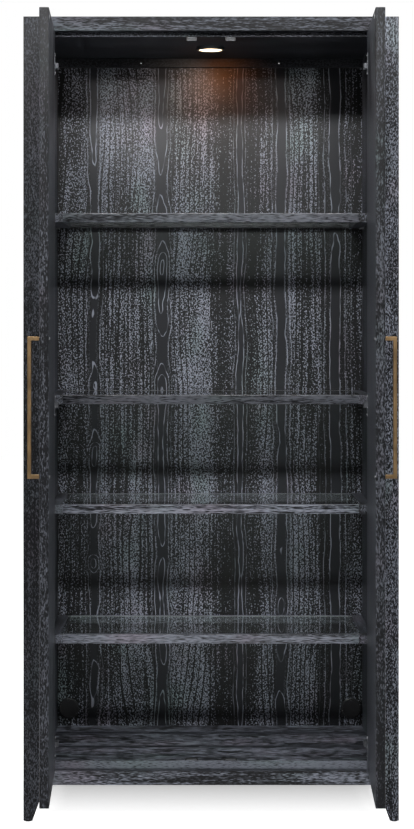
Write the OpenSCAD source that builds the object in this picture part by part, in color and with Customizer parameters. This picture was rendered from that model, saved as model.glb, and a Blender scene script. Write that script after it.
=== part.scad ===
// Tall display cabinet with two inset doors, four glazed shelves and a ceiling light.
// Millimetres. +X is to the viewer's right, +Y runs into the cabinet, +Z is up.
// The floor is at z = 0. The origin is the middle of the floor area that the
// cabinet covers with its doors standing open.

/* [Case] */
// Overall width of the case
case_w = 1000; // [900:10:1100]
// Overall depth of the case
case_d = 520; // [480:10:600]
// Overall height of the case
case_h = 2145; // [2100:5:2200]
// Clear height under the case
foot_h = 98; // [80:1:120]
// Width of a corner post seen from the front
post_w = 58; // [50:1:70]
// Depth of a corner post seen from the side
post_d = 70; // [66:1:85]
// Side of the square toe of a tapered foot
toe_w = 24; // [20:1:36]
// Height of the front, rear and side rails
rail_h = 38; // [30:1:50]
// Depth of the front and rear rails
rail_d = 50; // [44:1:60]
// Thickness of the floor board
floor_t = 22; // [16:1:28]
// Thickness of the ceiling board
ceiling_t = 13; // [10:1:20]
// Thickness of the loose top panel
top_t = 18; // [10:1:20]
// Width of the ledge that carries the top panel
top_ledge = 12; // [8:1:18]
// Thickness of the back panel
back_t = 12; // [6:1:15]
// Distance from the rear of the posts to the back panel
back_recess = 11; // [6:1:18]
// Thickness of the outer side panels
outer_t = 12; // [8:1:16]
// Distance from the outside of the posts to the outer side panels
outer_recess = 6; // [3:1:12]
// Thickness of the inner side panels
inner_t = 16; // [12:1:20]
// Depth of the grooves that hold the panels
groove = 8; // [5:1:12]
// Height of the cleat under the ceiling
cleat_h = 26; // [20:1:40]
// Thickness of the cleat under the ceiling
cleat_t = 18; // [12:1:25]

/* [Doors] */
// Thickness of a door
door_t = 24; // [22:1:28]
// Gap between a door and its post
side_gap = 2; // [2:0.5:3]
// Gap above and below a door
end_gap = 2; // [1.5:0.5:4]
// Gap between the two doors when they are closed
meeting_gap = 3; // [2:0.5:5]
// Gap between a closed door and the boards that it meets
stop_gap = 2; // [2:0.5:4]
// Angle at which the doors stand open
rest_angle = 88; // [84:1:90]
// Distance from the hinge edge of a door to its pivot
pivot_in = 4; // [4:0.5:6]
// Distance from the outer face of a door to its pivot
pivot_back = 3.8; // [3:0.1:3.8]

/* [Pulls] */
// Overall length of a pull
pull_l = 350; // [200:10:500]
// Side of the square bar of a pull
pull_bar = 10; // [8:1:14]
// How far a pull stands out from its door
pull_out = 30; // [24:1:40]
// Distance from the free edge of a door to the middle of its pull
pull_in = 20; // [15:1:60]

/* [Shelves] */
// Height of the upper face of the top shelf
top_shelf_z = 1628; // [1500:1:1800]
// Height of the upper face of the upper shelf
upper_shelf_z = 1132; // [1050:1:1250]
// Height of the upper face of the lower shelf
lower_shelf_z = 833; // [730:1:880]
// Height of the upper face of the bottom shelf
bottom_shelf_z = 479; // [400:1:560]
// Thickness of a shelf frame
shelf_t = 25; // [20:1:32]
// Distance from the front of the case to the front of the shelves
shelf_setback = 130; // [125:1:180]
// Gap between a shelf and the inner side panels
shelf_gap = 1.5; // [1:0.5:3]
// Gap between a shelf and the back panel
shelf_back_gap = 1; // [0.5:0.5:5]
// Width of the front and rear rails of a shelf frame
cross_w = 28; // [22:1:45]
// Width of the side rails of a shelf frame
stile_w = 37; // [26:1:50]
// Thickness of the glass panes
glass_t = 6; // [4:1:8]
// Width of the ledge under the edge of a pane
glass_ledge = 8; // [6:1:12]
// Distance from the front and rear of a shelf to its pins
pin_inset = 60; // [50:1:90]
// Radius of a shelf pin
pin_r = 2.5; // [2:0.5:4]
// Spacing of the pin holes
pin_pitch = 32; // [25:1:40]
// Number of pin holes above and below each pin
pin_spare = 2; // [0:1:3]

/* [Hinges] */
// Distance from the top of a door to its top hinge
hinge_top = 90; // [70:1:140]
// Distance from the bottom of a door to its bottom hinge
hinge_bottom = 67; // [60:1:140]
// Radius of a hinge cup
cup_r = 17.5; // [17:0.5:19]
// Depth of a hinge cup below the inner face of the door
cup_d = 12.5; // [12.5:0.1:13]
// Distance from the hinge edge of a door to the middle of a cup
cup_in = 22.5; // [22:0.5:24]
// Distance from the door face line to the screws of a mounting plate
plate_in = 37; // [34:1:38]

/* [Fittings] */
// Radius of the ceiling light
light_r = 39; // [30:1:50]
// Height of the ceiling light
light_h = 9; // [9:1:14]
// Distance from the front of the case to the middle of the light
light_in = 235; // [160:5:320]
// Radius of the rim of a cord grommet
grommet_r = 30; // [22:1:31]
// Distance from the inner side panels to the middle of a cord grommet
grommet_in = 32; // [32:1:120]
// Height of a cord grommet above the floor board
grommet_up = 50; // [36:1:120]
// Distance from the middle of the cabinet to a magnetic catch
catch_x = 52; // [30:1:120]
// Distance from the middle of the cabinet to a wall fixing hole
wall_hole_x = 200; // [100:10:300]
// Radius of a wall fixing hole
wall_hole_r = 2.75; // [2.5:0.25:5]
// Height of the glides under the feet
glide_h = 3; // [2:0.5:6]

/* [Hidden] */
$fn = 48;

// Clearance round a screw, dowel or plug in its hole
fit = 0.1;
// Clearance round a turning pin
pin_play = 0.05;
// Gap that parts which only just meet keep between them
near_gap = 0.3;
// How far a cutting shape runs past the face that it cuts
over = 1;

// Lines of the case
opening_w = case_w - 2 * post_w;
inner_x = opening_w / 2;
opening_low = foot_h + rail_h;
opening_high = case_h - rail_h;
floor_top = opening_low + floor_t;
ceiling_low = opening_high - ceiling_t;
stop_y = door_t + stop_gap;
back_y = case_d - back_recess - back_t;
board_d = back_y - stop_y;

// Lines of a door
door_w = (opening_w - 2 * side_gap - meeting_gap) / 2;
door_low = opening_low + end_gap;
door_h = opening_high - opening_low - 2 * end_gap;
door_top = door_low + door_h;
pivot_x = side_gap + pivot_in;
door_reach = (door_w - pivot_in) * sin(rest_angle) + pivot_back * cos(rest_angle) - pivot_back;
front_y = (door_reach - case_d) / 2;

// Lines of the shelves
shelf_w = opening_w - 2 * shelf_gap;
shelf_d = back_y - shelf_back_gap - shelf_setback;
shelf_levels = [top_shelf_z, upper_shelf_z, lower_shelf_z, bottom_shelf_z];
cross_l = shelf_w - 2 * stile_w;
pane_gap = 1;
pane_seat = 0.2;
pin_rows = [shelf_setback + pin_inset, shelf_setback + shelf_d - pin_inset];
pin_deep = 10;
pin_reach = 10;
pin_tab_w = 9;
pin_drop = pin_r;

// Dowels and screws
dowel_r = 4;
dowel_l = 40;
dowel_space = 16;
screw_r = 2;
head_r = 3.5;
head_h = 1.5;
floor_screw_l = 34;
floor_screw_xs = [for (i = [-2 : 2]) i * opening_w / 5];
cleat_screw_l = back_t + cleat_t / 2;
cleat_screw_space = 60;
cleat_screw_xs = [for (side = [-1, 1], step = [-1, 1]) side * (wall_hole_x + step * cleat_screw_space)];

// Hinge, seen from above: x from the post, y from the front of the case
hinge_mid = (door_low + hinge_bottom + door_top - hinge_top) / 2;
hinge_levels = [door_low + hinge_bottom, hinge_mid, door_top - hinge_top];
nose_x = 30;
nose_set = 8;
nose_y = door_t - nose_set;
nose_r = 3;
nose_h = 10;
pivot_pin_r = 1.5;
link_l = 8.5;
link_gap = 0.4;
link_t = 1.5;
bridge_l = 2;
cheek_z = nose_h / 2 + link_gap;
lip_gap = 0.35;
arm_gap = 2;
arm_l = 78;
arm_front = door_t + arm_gap;
arm_back = arm_front + arm_l;
arm_low = 8;
arm_high = 20;
arm_h = 17;
arm_wall = 1.5;
crank_l = 20;
crank_y = arm_front + crank_l;
crank_t = 8;
crank_side = 1;
crank_heel = 7;
plate_t = 2;
plate_y = door_t + plate_in;
plate_d = 44;
plate_h = 50;
plate_screw_z = 16;
plate_screw_l = 14;
clamp_in = 24;
clamp_y = plate_y + clamp_in;
clamp_r = 2.5;
clamp_head_r = 4.5;
cup_wall = 1;
flange_t = 1.2;
flange_ring = 2;
flange_h = 60;
flange_w = 18;
tongue_side = 4;
cup_screw_in = 9.5;
cup_screw_z = 24;
cup_screw_l = 11;

// Where the lip of a cup starts, so that it just clears the link of an open door
lip_w = pivot_in - (nose_y - pivot_back) * sin(rest_angle)
    + (nose_x - pivot_x) * cos(rest_angle) + link_l + lip_gap;

// Catches, light and grommets
ceiling_catch = [27, 14, 11];
floor_catch = [37, 12, 5];
strike_t = 1;
strike_margin = 2;
strike_plug_r = 2.5;
strike_plug_l = 8;
light_rim = 6;
light_back = 2;
light_bevel = 2;
lens_t = 3;
lens_lip = 1.5;
lens_lip_t = 1;
board_t = 1.6;
cord_hole_r = 5;
grommet_wall = 2;
grommet_rim = 2;
grommet_lip = 2.5;
cap_t = 3;
cap_set = 0.6;
cap_notch_r = 4;
glide_r = 9;
nail_r = 1;
nail_l = 14;
pull_screw_r = 2;
pull_screw_bite = 9;
pull_head_r = 4.5;
pull_head_h = 2.4;

oak = "#2b2c33";
brass = "#a07b4c";
nickel = "#b9bbbd";
black = "#1b1b1d";

// Places

// Puts a part that is drawn from the front of the case in its place
module in_case() {
    translate([0, front_y, 0]) children();
}

// The left side: x from the inner face of the left post, y from the front of the case
module on_left() {
    in_case() translate([-inner_x, 0, 0]) children();
}

// The right side is the left side seen in a mirror
module on_right() {
    mirror([1, 0, 0]) on_left() children();
}

// The left door as it stands open: x from its hinge edge, y from its outer face
module on_left_door() {
    on_left() translate([pivot_x, pivot_back, 0]) rotate([0, 0, -rest_angle])
        translate([-pivot_in, -pivot_back, 0]) children();
}

module on_right_door() {
    mirror([1, 0, 0]) on_left_door() children();
}

// The hinge links of the left door: x along the door from the pin in the arm's nose
module on_left_link() {
    on_left() translate([nose_x, nose_y, 0]) rotate([0, 0, -rest_angle]) children();
}

module on_right_link() {
    mirror([1, 0, 0]) on_left_link() children();
}

// A round rod along x, from the origin towards +x
module rod_x(r, l) {
    rotate([0, 90, 0]) cylinder(r = r, h = l);
}

// A round rod along y, from the origin towards +y
module rod_y(r, l) {
    rotate([-90, 0, 0]) cylinder(r = r, h = l);
}

// Posts and rails

// A tapered foot: both inner faces draw in towards the floor
module foot() {
    intersection() {
        translate([0, post_d, 0]) rotate([90, 0, 0]) linear_extrude(post_d)
            polygon([[0, glide_h], [toe_w, glide_h], [post_w, foot_h], [0, foot_h]]);
        rotate([90, 0, 90]) linear_extrude(post_w)
            polygon([[0, glide_h], [toe_w, glide_h], [post_d, foot_h], [0, foot_h]]);
    }
}

// A corner post with its foot, its outer corner on the z axis
module post_blank() {
    difference() {
        union() {
            foot();
            translate([0, 0, foot_h]) cube([post_w, post_d, case_h - foot_h]);
        }
        translate([outer_recess, post_d - groove, opening_low - groove])
            cube([outer_t, groove + over, opening_high - opening_low + 2 * groove]);
        translate([toe_w / 2, toe_w / 2, glide_h - over]) cylinder(r = nail_r + fit, h = nail_l + over + fit);
    }
}

module post_left_front() {
    difference() {
        translate([-post_w, 0, 0]) post_blank();
        left_dowel_holes();
        plate_screw_shafts(fit);
        translate([inner_x, 0, 0]) top_seat();
    }
}

module post_left_rear() {
    difference() {
        translate([-post_w, case_d, 0]) mirror([0, 1, 0]) post_blank();
        left_dowel_holes();
        translate([-groove, back_y, opening_low]) cube([groove + over, back_t, opening_high - opening_low]);
        translate([inner_x, 0, 0]) top_seat();
    }
}

// Middle heights of the lower and upper rails
rail_mids = [foot_h + rail_h / 2, case_h - rail_h / 2];

// The dowels at the left ends of the front and rear rails, and of both side rails.
// They stay in the wood beside the seat of the top panel.
module left_dowels(r, extra) {
    cross_mid = (rail_d - top_ledge) / 2;
    side_mid = -(post_w + top_ledge) / 2;
    for (z = rail_mids, side = [-1, 1]) {
        for (y = [cross_mid, case_d - cross_mid])
            translate([-dowel_l / 2 - extra, y + side * dowel_space / 2, z]) rod_x(r, dowel_l + 2 * extra);
        for (y = [post_d, case_d - post_d])
            translate([side_mid + side * dowel_space / 2, y - dowel_l / 2 - extra, z])
                rod_y(r, dowel_l + 2 * extra);
    }
}

module left_dowel_holes() {
    left_dowels(dowel_r + fit, fit);
}

module dowel_holes() {
    translate([-inner_x, 0, 0]) left_dowel_holes();
    mirror([1, 0, 0]) translate([-inner_x, 0, 0]) left_dowel_holes();
}

module rail_dowels() {
    color("#c9a878") {
        on_left() left_dowels(dowel_r, 0);
        on_right() left_dowels(dowel_r, 0);
    }
}

// The sunk seat of the top panel in the upper rails and the corners of the posts
module top_seat() {
    seat = [opening_w + 2 * top_ledge, case_d - 2 * rail_d + 2 * top_ledge, top_t + over];
    translate([-seat.x / 2, rail_d - top_ledge, case_h - top_t]) cube(seat);
}

// A front or rear rail between two posts, its front face at y
module cross_rail(y, z) {
    translate([-inner_x, y, z]) cube([opening_w, rail_d, rail_h]);
}

module front_top_rail() {
    color(oak) in_case() difference() {
        cross_rail(0, opening_high);
        dowel_holes();
        top_seat();
    }
}

module front_bottom_rail() {
    color(oak) in_case() difference() {
        cross_rail(0, foot_h);
        dowel_holes();
    }
}

module rear_top_rail() {
    color(oak) in_case() difference() {
        cross_rail(case_d - rail_d, opening_high);
        dowel_holes();
        top_seat();
    }
}

module rear_bottom_rail() {
    color(oak) in_case() difference() {
        cross_rail(case_d - rail_d, foot_h);
        dowel_holes();
    }
}

// The lower and upper side rails of the left side
module side_rails_left() {
    difference() {
        for (z = [foot_h, opening_high])
            translate([-post_w, post_d, z]) cube([post_w, case_d - 2 * post_d, rail_h]);
        left_dowel_holes();
        translate([-post_w + outer_recess, post_d - over, opening_low - groove])
            cube([outer_t, case_d - 2 * post_d + 2 * over, opening_high - opening_low + 2 * groove]);
        translate([inner_x, 0, 0]) top_seat();
    }
}

module left_side_rails() {
    color(oak) on_left() side_rails_left();
}

module right_side_rails() {
    color(oak) on_right() side_rails_left();
}

module front_left_post() {
    color(oak) on_left() post_left_front();
}

module front_right_post() {
    color(oak) on_right() post_left_front();
}

module rear_left_post() {
    color(oak) on_left() post_left_rear();
}

module rear_right_post() {
    color(oak) on_right() post_left_rear();
}

// Panels and boards

panel_play = 0.5;

// An outer side panel, let into the grooves of its posts and rails
module outer_panel_left() {
    reach = groove - panel_play;
    translate([-post_w + outer_recess, post_d - reach, opening_low - reach])
        cube([outer_t, case_d - 2 * post_d + 2 * reach, opening_high - opening_low + 2 * reach]);
}

module left_outer_panel() {
    color(oak) on_left() outer_panel_left();
}

module right_outer_panel() {
    color(oak) on_right() outer_panel_left();
}

// Holes for the shelf pins, in rows above and below each pin
module pin_holes() {
    for (level = shelf_levels, y = pin_rows, i = [-pin_spare : pin_spare])
        translate([-pin_deep - fit, y, level - shelf_t - pin_drop + i * pin_pitch])
            rod_x(pin_r + fit, pin_deep + fit + over);
}

// An inner side panel, flush with the inner faces of its posts
module inner_panel_left() {
    difference() {
        translate([-inner_t, post_d, opening_low])
            cube([inner_t, case_d - 2 * post_d, opening_high - opening_low]);
        pin_holes();
    }
}

module left_inner_panel() {
    color(oak) on_left() inner_panel_left();
}

module right_inner_panel() {
    color(oak) on_right() inner_panel_left();
}

module top_panel() {
    w = opening_w + 2 * top_ledge - 2 * panel_play;
    d = case_d - 2 * rail_d + 2 * top_ledge - 2 * panel_play;
    color(oak) in_case() translate([-w / 2, rail_d - top_ledge + panel_play, case_h - top_t])
        cube([w, d, top_t]);
}

module ceiling_board() {
    color(oak) in_case() difference() {
        translate([-inner_x, stop_y, ceiling_low]) cube([opening_w, board_d, ceiling_t]);
        translate([0, light_in, ceiling_low - over]) cylinder(r = cord_hole_r, h = ceiling_t + 2 * over);
    }
}

module floor_board() {
    color(oak) in_case() difference() {
        translate([-inner_x, stop_y, opening_low]) cube([opening_w, board_d, floor_t]);
        floor_screw_shafts(fit);
    }
}

module wall_holes() {
    for (x = [-wall_hole_x, wall_hole_x])
        translate([x, back_y - cleat_t - over, ceiling_low - cleat_h / 2])
            rod_y(wall_hole_r, cleat_t + back_t + 2 * over);
}

module back_cleat() {
    color(oak) in_case() difference() {
        translate([-inner_x, back_y - cleat_t, ceiling_low - cleat_h]) cube([opening_w, cleat_t, cleat_h]);
        wall_holes();
        cleat_screw_shafts(fit);
    }
}

// A row of screw shafts that run forward from the rear of the back panel
module screw_shafts(xs, z, l, extra) {
    for (x = xs)
        translate([x, back_y + back_t - l - extra, z]) rod_y(screw_r + extra, l + 2 * extra);
}

module floor_screw_shafts(extra) {
    screw_shafts(floor_screw_xs, opening_low + floor_t / 2, floor_screw_l, extra);
}

module cleat_screw_shafts(extra) {
    screw_shafts(cleat_screw_xs, ceiling_low - cleat_h / 2, cleat_screw_l, extra);
}

grommet_pipe_r = grommet_r - grommet_rim;

module grommet_places() {
    for (side = [-1, 1])
        translate([side * (inner_x - grommet_in), back_y, floor_top + grommet_up]) children();
}

module back_panel() {
    w = opening_w + 2 * groove - 2 * panel_play;
    color(oak) in_case() difference() {
        translate([-w / 2, back_y, opening_low]) cube([w, back_t, opening_high - opening_low]);
        grommet_places() translate([0, -over, 0]) rod_y(grommet_pipe_r + fit, back_t + 2 * over);
        wall_holes();
        floor_screw_shafts(fit);
        cleat_screw_shafts(fit);
    }
}

// Screws that hold the back panel to the floor board and to the cleat
module back_screws() {
    color(nickel) in_case() {
        floor_screw_shafts(0);
        cleat_screw_shafts(0);
        for (x = floor_screw_xs)
            translate([x, back_y + back_t, opening_low + floor_t / 2]) rod_y(head_r, head_h);
        for (x = cleat_screw_xs)
            translate([x, back_y + back_t, ceiling_low - cleat_h / 2]) rod_y(head_r, head_h);
    }
}

module foot_glides() {
    color(black) in_case() for (side = [-1, 1], y = [toe_w / 2, case_d - toe_w / 2])
        translate([side * (case_w / 2 - toe_w / 2), y, 0]) {
            cylinder(r = glide_r, h = glide_h);
            cylinder(r = nail_r, h = glide_h + nail_l);
        }
}

// Shelves

// The shallow seat of the pane in the frame of a shelf whose upper face is at z
module pane_space(z, gap, seat) {
    w = cross_l + 2 * (glass_ledge - gap);
    d = shelf_d - 2 * cross_w + 2 * (glass_ledge - gap);
    translate([-w / 2, shelf_setback + cross_w - glass_ledge + gap, z - glass_t - pane_seat]) cube([w, d, seat]);
}

module shelf_cross_rails(z) {
    color(oak) in_case() difference() {
        for (y = [shelf_setback, shelf_setback + shelf_d - cross_w])
            translate([-cross_l / 2, y, z - shelf_t]) cube([cross_l, cross_w, shelf_t]);
        pane_space(z, 0, glass_t + over);
    }
}

module shelf_side_rails(z) {
    color(oak) in_case() difference() {
        for (x = [-shelf_w / 2, shelf_w / 2 - stile_w])
            translate([x, shelf_setback, z - shelf_t]) cube([stile_w, shelf_d, shelf_t]);
        pane_space(z, 0, glass_t + over);
    }
}

module shelf_glass(z) {
    color("#cfe6e2", 0.4) in_case() pane_space(z, pane_gap, glass_t);
}

// One pin in the left inner panel under a shelf whose lower face is at z = 0
module shelf_pin() {
    translate([-pin_deep, 0, -pin_drop]) rod_x(pin_r, pin_deep);
    translate([0, -pin_tab_w / 2, -2 * pin_drop]) cube([pin_reach, pin_tab_w, 2 * pin_drop]);
}

module pins_left() {
    for (level = shelf_levels, y = pin_rows)
        translate([0, y, level - shelf_t]) shelf_pin();
}

module shelf_pins() {
    color(nickel) {
        on_left() pins_left();
        on_right() pins_left();
    }
}

module top_shelf_cross_rails() {
    shelf_cross_rails(top_shelf_z);
}

module top_shelf_side_rails() {
    shelf_side_rails(top_shelf_z);
}

module top_shelf_glass() {
    shelf_glass(top_shelf_z);
}

module upper_shelf_cross_rails() {
    shelf_cross_rails(upper_shelf_z);
}

module upper_shelf_side_rails() {
    shelf_side_rails(upper_shelf_z);
}

module upper_shelf_glass() {
    shelf_glass(upper_shelf_z);
}

module lower_shelf_cross_rails() {
    shelf_cross_rails(lower_shelf_z);
}

module lower_shelf_side_rails() {
    shelf_side_rails(lower_shelf_z);
}

module lower_shelf_glass() {
    shelf_glass(lower_shelf_z);
}

module bottom_shelf_cross_rails() {
    shelf_cross_rails(bottom_shelf_z);
}

module bottom_shelf_side_rails() {
    shelf_side_rails(bottom_shelf_z);
}

module bottom_shelf_glass() {
    shelf_glass(bottom_shelf_z);
}

// Light, grommets and catches

light_low = ceiling_low - light_h;

light_inner_r = light_r - light_rim;

// The rim and back of the light, with a lip under the lens and a hole for the cord
module light_housing() {
    color(nickel) in_case() translate([0, light_in, light_low]) rotate_extrude()
        polygon([
            [light_inner_r - lens_lip, 0], [light_r - light_bevel, 0], [light_r, light_bevel],
            [light_r, light_h], [cord_hole_r, light_h], [cord_hole_r, light_h - light_back],
            [light_inner_r, light_h - light_back], [light_inner_r, lens_lip_t],
            [light_inner_r - lens_lip, lens_lip_t]
        ]);
}

module light_lens() {
    color("#fff3d8") in_case() translate([0, light_in, light_low + lens_lip_t])
        cylinder(r = light_inner_r - fit, h = lens_t);
}

// The round circuit board with its ring of light sources
module light_board() {
    chip = [3, 3, 0.8];
    chips = 8;
    chip_ring = light_r / 2;
    board_low = light_h - light_back - board_t;
    color("#e9e9e4") in_case() translate([0, light_in, light_low]) difference() {
        union() {
            translate([0, 0, board_low]) cylinder(r = light_inner_r - fit, h = board_t);
            for (i = [0 : chips - 1])
                rotate([0, 0, i * 360 / chips]) translate([chip_ring, -chip.y / 2, board_low - chip.z])
                    cube(chip);
        }
        translate([0, 0, board_low - over]) cylinder(r = cord_hole_r, h = board_t + 2 * over);
    }
}

// Sleeves with a front rim, one in each cord hole of the back panel
module cord_grommets() {
    color(black) in_case() grommet_places() difference() {
        union() {
            translate([0, -grommet_lip, 0]) rod_y(grommet_r, grommet_lip);
            rod_y(grommet_pipe_r, back_t);
        }
        translate([0, -grommet_lip - over, 0])
            rod_y(grommet_pipe_r - grommet_wall, back_t + grommet_lip + 2 * over);
    }
}

// Press-in caps that close the grommets, with a finger notch at the top of each
module grommet_caps() {
    color(black) in_case() grommet_places() difference() {
        translate([0, -grommet_lip + cap_set, 0]) rod_y(grommet_pipe_r - grommet_wall - fit, cap_t);
        translate([0, -grommet_lip + cap_set - over, grommet_pipe_r - grommet_wall])
            rod_y(cap_notch_r, cap_t + 2 * over);
    }
}

module catch_block(size, z) {
    for (side = [-1, 1])
        translate([side * catch_x - size.x / 2, stop_y, z]) cube(size);
}

// Two catches under the ceiling and two on the floor board
module magnet_catches() {
    color(black) in_case() {
        catch_block(ceiling_catch, ceiling_low - ceiling_catch.z);
        catch_block(floor_catch, floor_top);
    }
}

// Doors

// Distance from the hinge edge of a door to the middle of its strike plates
strike_w = inner_x - catch_x - side_gap;
strike_levels = [floor_top + floor_catch.z / 2, ceiling_low - ceiling_catch.z / 2];
pull_mid_w = door_w - pull_in;
pull_mid_z = door_low + door_h / 2;
pull_leg_zs = [pull_mid_z - (pull_l - pull_bar) / 2, pull_mid_z + (pull_l - pull_bar) / 2];
cup_screw_w = cup_in + cup_screw_in;

// Everything that is cut out of a door
module door_cuts() {
    for (z = hinge_levels) {
        translate([cup_in, door_t - cup_d - fit, z]) rod_y(cup_r + fit, cup_d + fit + over);
        for (side = [-1, 1])
            translate([cup_screw_w, door_t - cup_screw_l, z + side * cup_screw_z])
                rod_y(screw_r + fit, cup_screw_l + over);
    }
    for (z = pull_leg_zs)
        translate([pull_mid_w, -over, z]) rod_y(pull_screw_r + fit, door_t + 2 * over);
    for (z = strike_levels)
        translate([strike_w, door_t - strike_plug_l - fit, z])
            rod_y(strike_plug_r + fit, strike_plug_l + fit + over);
}

module door_leaf() {
    color(oak) difference() {
        translate([0, 0, door_low]) cube([door_w, door_t, door_h]);
        door_cuts();
    }
}

module left_door() {
    on_left_door() door_leaf();
}

module right_door() {
    on_right_door() door_leaf();
}

// A square bar bent back to the door at both ends
module pull() {
    color(brass) difference() {
        translate([pull_mid_w - pull_bar / 2, -pull_out, pull_mid_z - pull_l / 2])
            cube([pull_bar, pull_out, pull_l]);
        translate([pull_mid_w - pull_bar / 2 - over, pull_bar - pull_out, pull_mid_z - pull_l / 2 + pull_bar])
            cube([pull_bar + 2 * over, pull_out, pull_l - 2 * pull_bar]);
        for (z = pull_leg_zs)
            translate([pull_mid_w, -pull_screw_bite - fit, z]) rod_y(pull_screw_r + fit, pull_screw_bite + over);
    }
}

module left_pull() {
    on_left_door() pull();
}

module right_pull() {
    on_right_door() pull();
}

module pull_screws() {
    color(nickel) for (z = pull_leg_zs) {
        translate([pull_mid_w, -pull_screw_bite, z]) rod_y(pull_screw_r, pull_screw_bite + door_t);
        translate([pull_mid_w, door_t, z]) rod_y(pull_head_r, pull_head_h);
    }
}

module left_pull_screws() {
    on_left_door() pull_screws();
}

module right_pull_screws() {
    on_right_door() pull_screws();
}

// Steel plates with a plug behind, which the magnets hold
module strike_plates() {
    sizes = [floor_catch, ceiling_catch];
    color(nickel) for (i = [0, 1]) {
        plate = [sizes[i].x - 2 * strike_margin, strike_t, sizes[i].z - strike_margin / 2];
        translate([strike_w - plate.x / 2, door_t, strike_levels[i] - plate.z / 2]) cube(plate);
        translate([strike_w, door_t - strike_plug_l, strike_levels[i]]) rod_y(strike_plug_r - fit, strike_plug_l);
    }
}

module left_strike_plates() {
    on_left_door() strike_plates();
}

module right_strike_plates() {
    on_right_door() strike_plates();
}

// Hinges

// The flange of a cup: a tongue towards the hinge edge and two screwed wings
module cup_flange() {
    tongue_h = 2 * (cheek_z + link_t + tongue_side);
    translate([lip_w, door_t, -tongue_h / 2]) cube([cup_in - lip_w, flange_t, tongue_h]);
    translate([cup_in, door_t, 0]) rod_y(cup_r + flange_ring, flange_t);
    translate([cup_screw_w - flange_w / 2, door_t, -flange_h / 2]) cube([flange_w, flange_t, flange_h]);
}

module hinge_cup() {
    difference() {
        union() {
            translate([cup_in, door_t - cup_d, 0]) rod_y(cup_r, cup_d);
            cup_flange();
        }
        translate([cup_in, door_t - cup_d + cup_wall, 0]) rod_y(cup_r - cup_wall, cup_d + over + flange_t);
        for (side = [-1, 1])
            translate([cup_screw_w, door_t - over, side * cup_screw_z]) rod_y(screw_r + fit, flange_t + 2 * over);
    }
}

module hinge_cups() {
    color(nickel) for (z = hinge_levels) translate([0, 0, z]) hinge_cup();
}

module left_hinge_cups() {
    on_left_door() hinge_cups();
}

module right_hinge_cups() {
    on_right_door() hinge_cups();
}

module cup_screws() {
    color(nickel) for (z = hinge_levels, side = [-1, 1])
        translate([cup_screw_w, door_t, z + side * cup_screw_z]) {
            translate([0, fit - cup_screw_l, 0]) rod_y(screw_r, cup_screw_l + flange_t - fit);
            translate([0, flange_t, 0]) rod_y(head_r, head_h);
        }
}

module left_cup_screws() {
    on_left_door() cup_screws();
}

module right_cup_screws() {
    on_right_door() cup_screws();
}

// Two cheeks astride the arm's nose, joined by a bridge at the cup end
module hinge_link() {
    difference() {
        for (z = [-cheek_z - link_t, cheek_z])
            translate([0, 0, z]) {
                cylinder(r = nose_r, h = link_t);
                translate([0, -nose_r, 0]) cube([link_l, 2 * nose_r, link_t]);
            }
        cylinder(r = pivot_pin_r, h = 4 * cheek_z, center = true);
    }
    translate([link_l - bridge_l, -nose_r, -cheek_z]) cube([bridge_l, 2 * nose_r, 2 * cheek_z]);
}

module hinge_links() {
    color(nickel) for (z = hinge_levels) translate([0, 0, z]) hinge_link();
}

module left_hinge_links() {
    on_left_link() hinge_links();
}

module right_hinge_links() {
    on_right_link() hinge_links();
}

module hinge_pins() {
    color(nickel) for (z = hinge_levels)
        translate([0, 0, z]) cylinder(r = pivot_pin_r, h = 2 * (cheek_z + link_t), center = true);
}

module left_hinge_pins() {
    on_left_link() hinge_pins();
}

module right_hinge_pins() {
    on_right_link() hinge_pins();
}

// A cranked arm: a channel over the mounting plate that ends in a drilled nose
module hinge_arm() {
    crank_x = nose_x + nose_r + crank_side;
    difference() {
        union() {
            translate([0, 0, -arm_h / 2]) linear_extrude(arm_h)
                polygon([
                    [arm_low, arm_back], [arm_high, arm_back], [arm_high, crank_y],
                    [crank_x, arm_front + crank_t], [crank_x, arm_front],
                    [nose_x - crank_heel, arm_front], [arm_low, crank_y - arm_wall - near_gap]
                ]);
            translate([nose_x - nose_r, nose_y, -nose_h / 2])
                cube([2 * nose_r, arm_front - nose_y + over, nose_h]);
            translate([nose_x, nose_y, -nose_h / 2]) cylinder(r = nose_r, h = nose_h);
        }
        translate([arm_low - over, crank_y, -arm_h / 2 + arm_wall])
            cube([arm_high - arm_low + over - arm_wall, arm_back, arm_h - 2 * arm_wall]);
        translate([nose_x, nose_y, 0]) cylinder(r = pivot_pin_r + pin_play, h = 2 * nose_h, center = true);
        translate([arm_low, clamp_y, 0]) rod_x(clamp_r + fit, 2 * arm_high);
    }
}

module arms_left() {
    for (z = hinge_levels) translate([0, 0, z]) hinge_arm();
}

module hinge_arms() {
    color(nickel) {
        on_left() arms_left();
        on_right() arms_left();
    }
}

// A mounting plate screwed to the post, with a boss inside the arm
module hinge_plate() {
    boss_h = arm_h - 2 * arm_wall - 2 * near_gap;
    boss_x = arm_high - arm_wall;
    difference() {
        union() {
            translate([0, plate_y - plate_d / 4, -plate_h / 2]) cube([plate_t, plate_d / 2, plate_h]);
            translate([0, plate_y - plate_d / 4, -boss_h / 2]) cube([boss_x, plate_d, boss_h]);
        }
        for (side = [-1, 1])
            translate([-over, plate_y, side * plate_screw_z]) rod_x(screw_r + fit, plate_t + 2 * over);
        translate([plate_t, clamp_y, 0]) rod_x(clamp_r + fit, arm_high);
    }
}

module plates_left() {
    for (z = hinge_levels) translate([0, 0, z]) hinge_plate();
}

module hinge_plates() {
    color(nickel) {
        on_left() plates_left();
        on_right() plates_left();
    }
}

// The shafts of the plate screws, made wider by extra when they are cut as holes
module plate_screw_shafts(extra) {
    for (z = hinge_levels, side = [-1, 1])
        translate([-plate_screw_l - extra, plate_y, z + side * plate_screw_z])
            rod_x(screw_r + extra, plate_screw_l + plate_t + 2 * extra);
}

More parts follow.
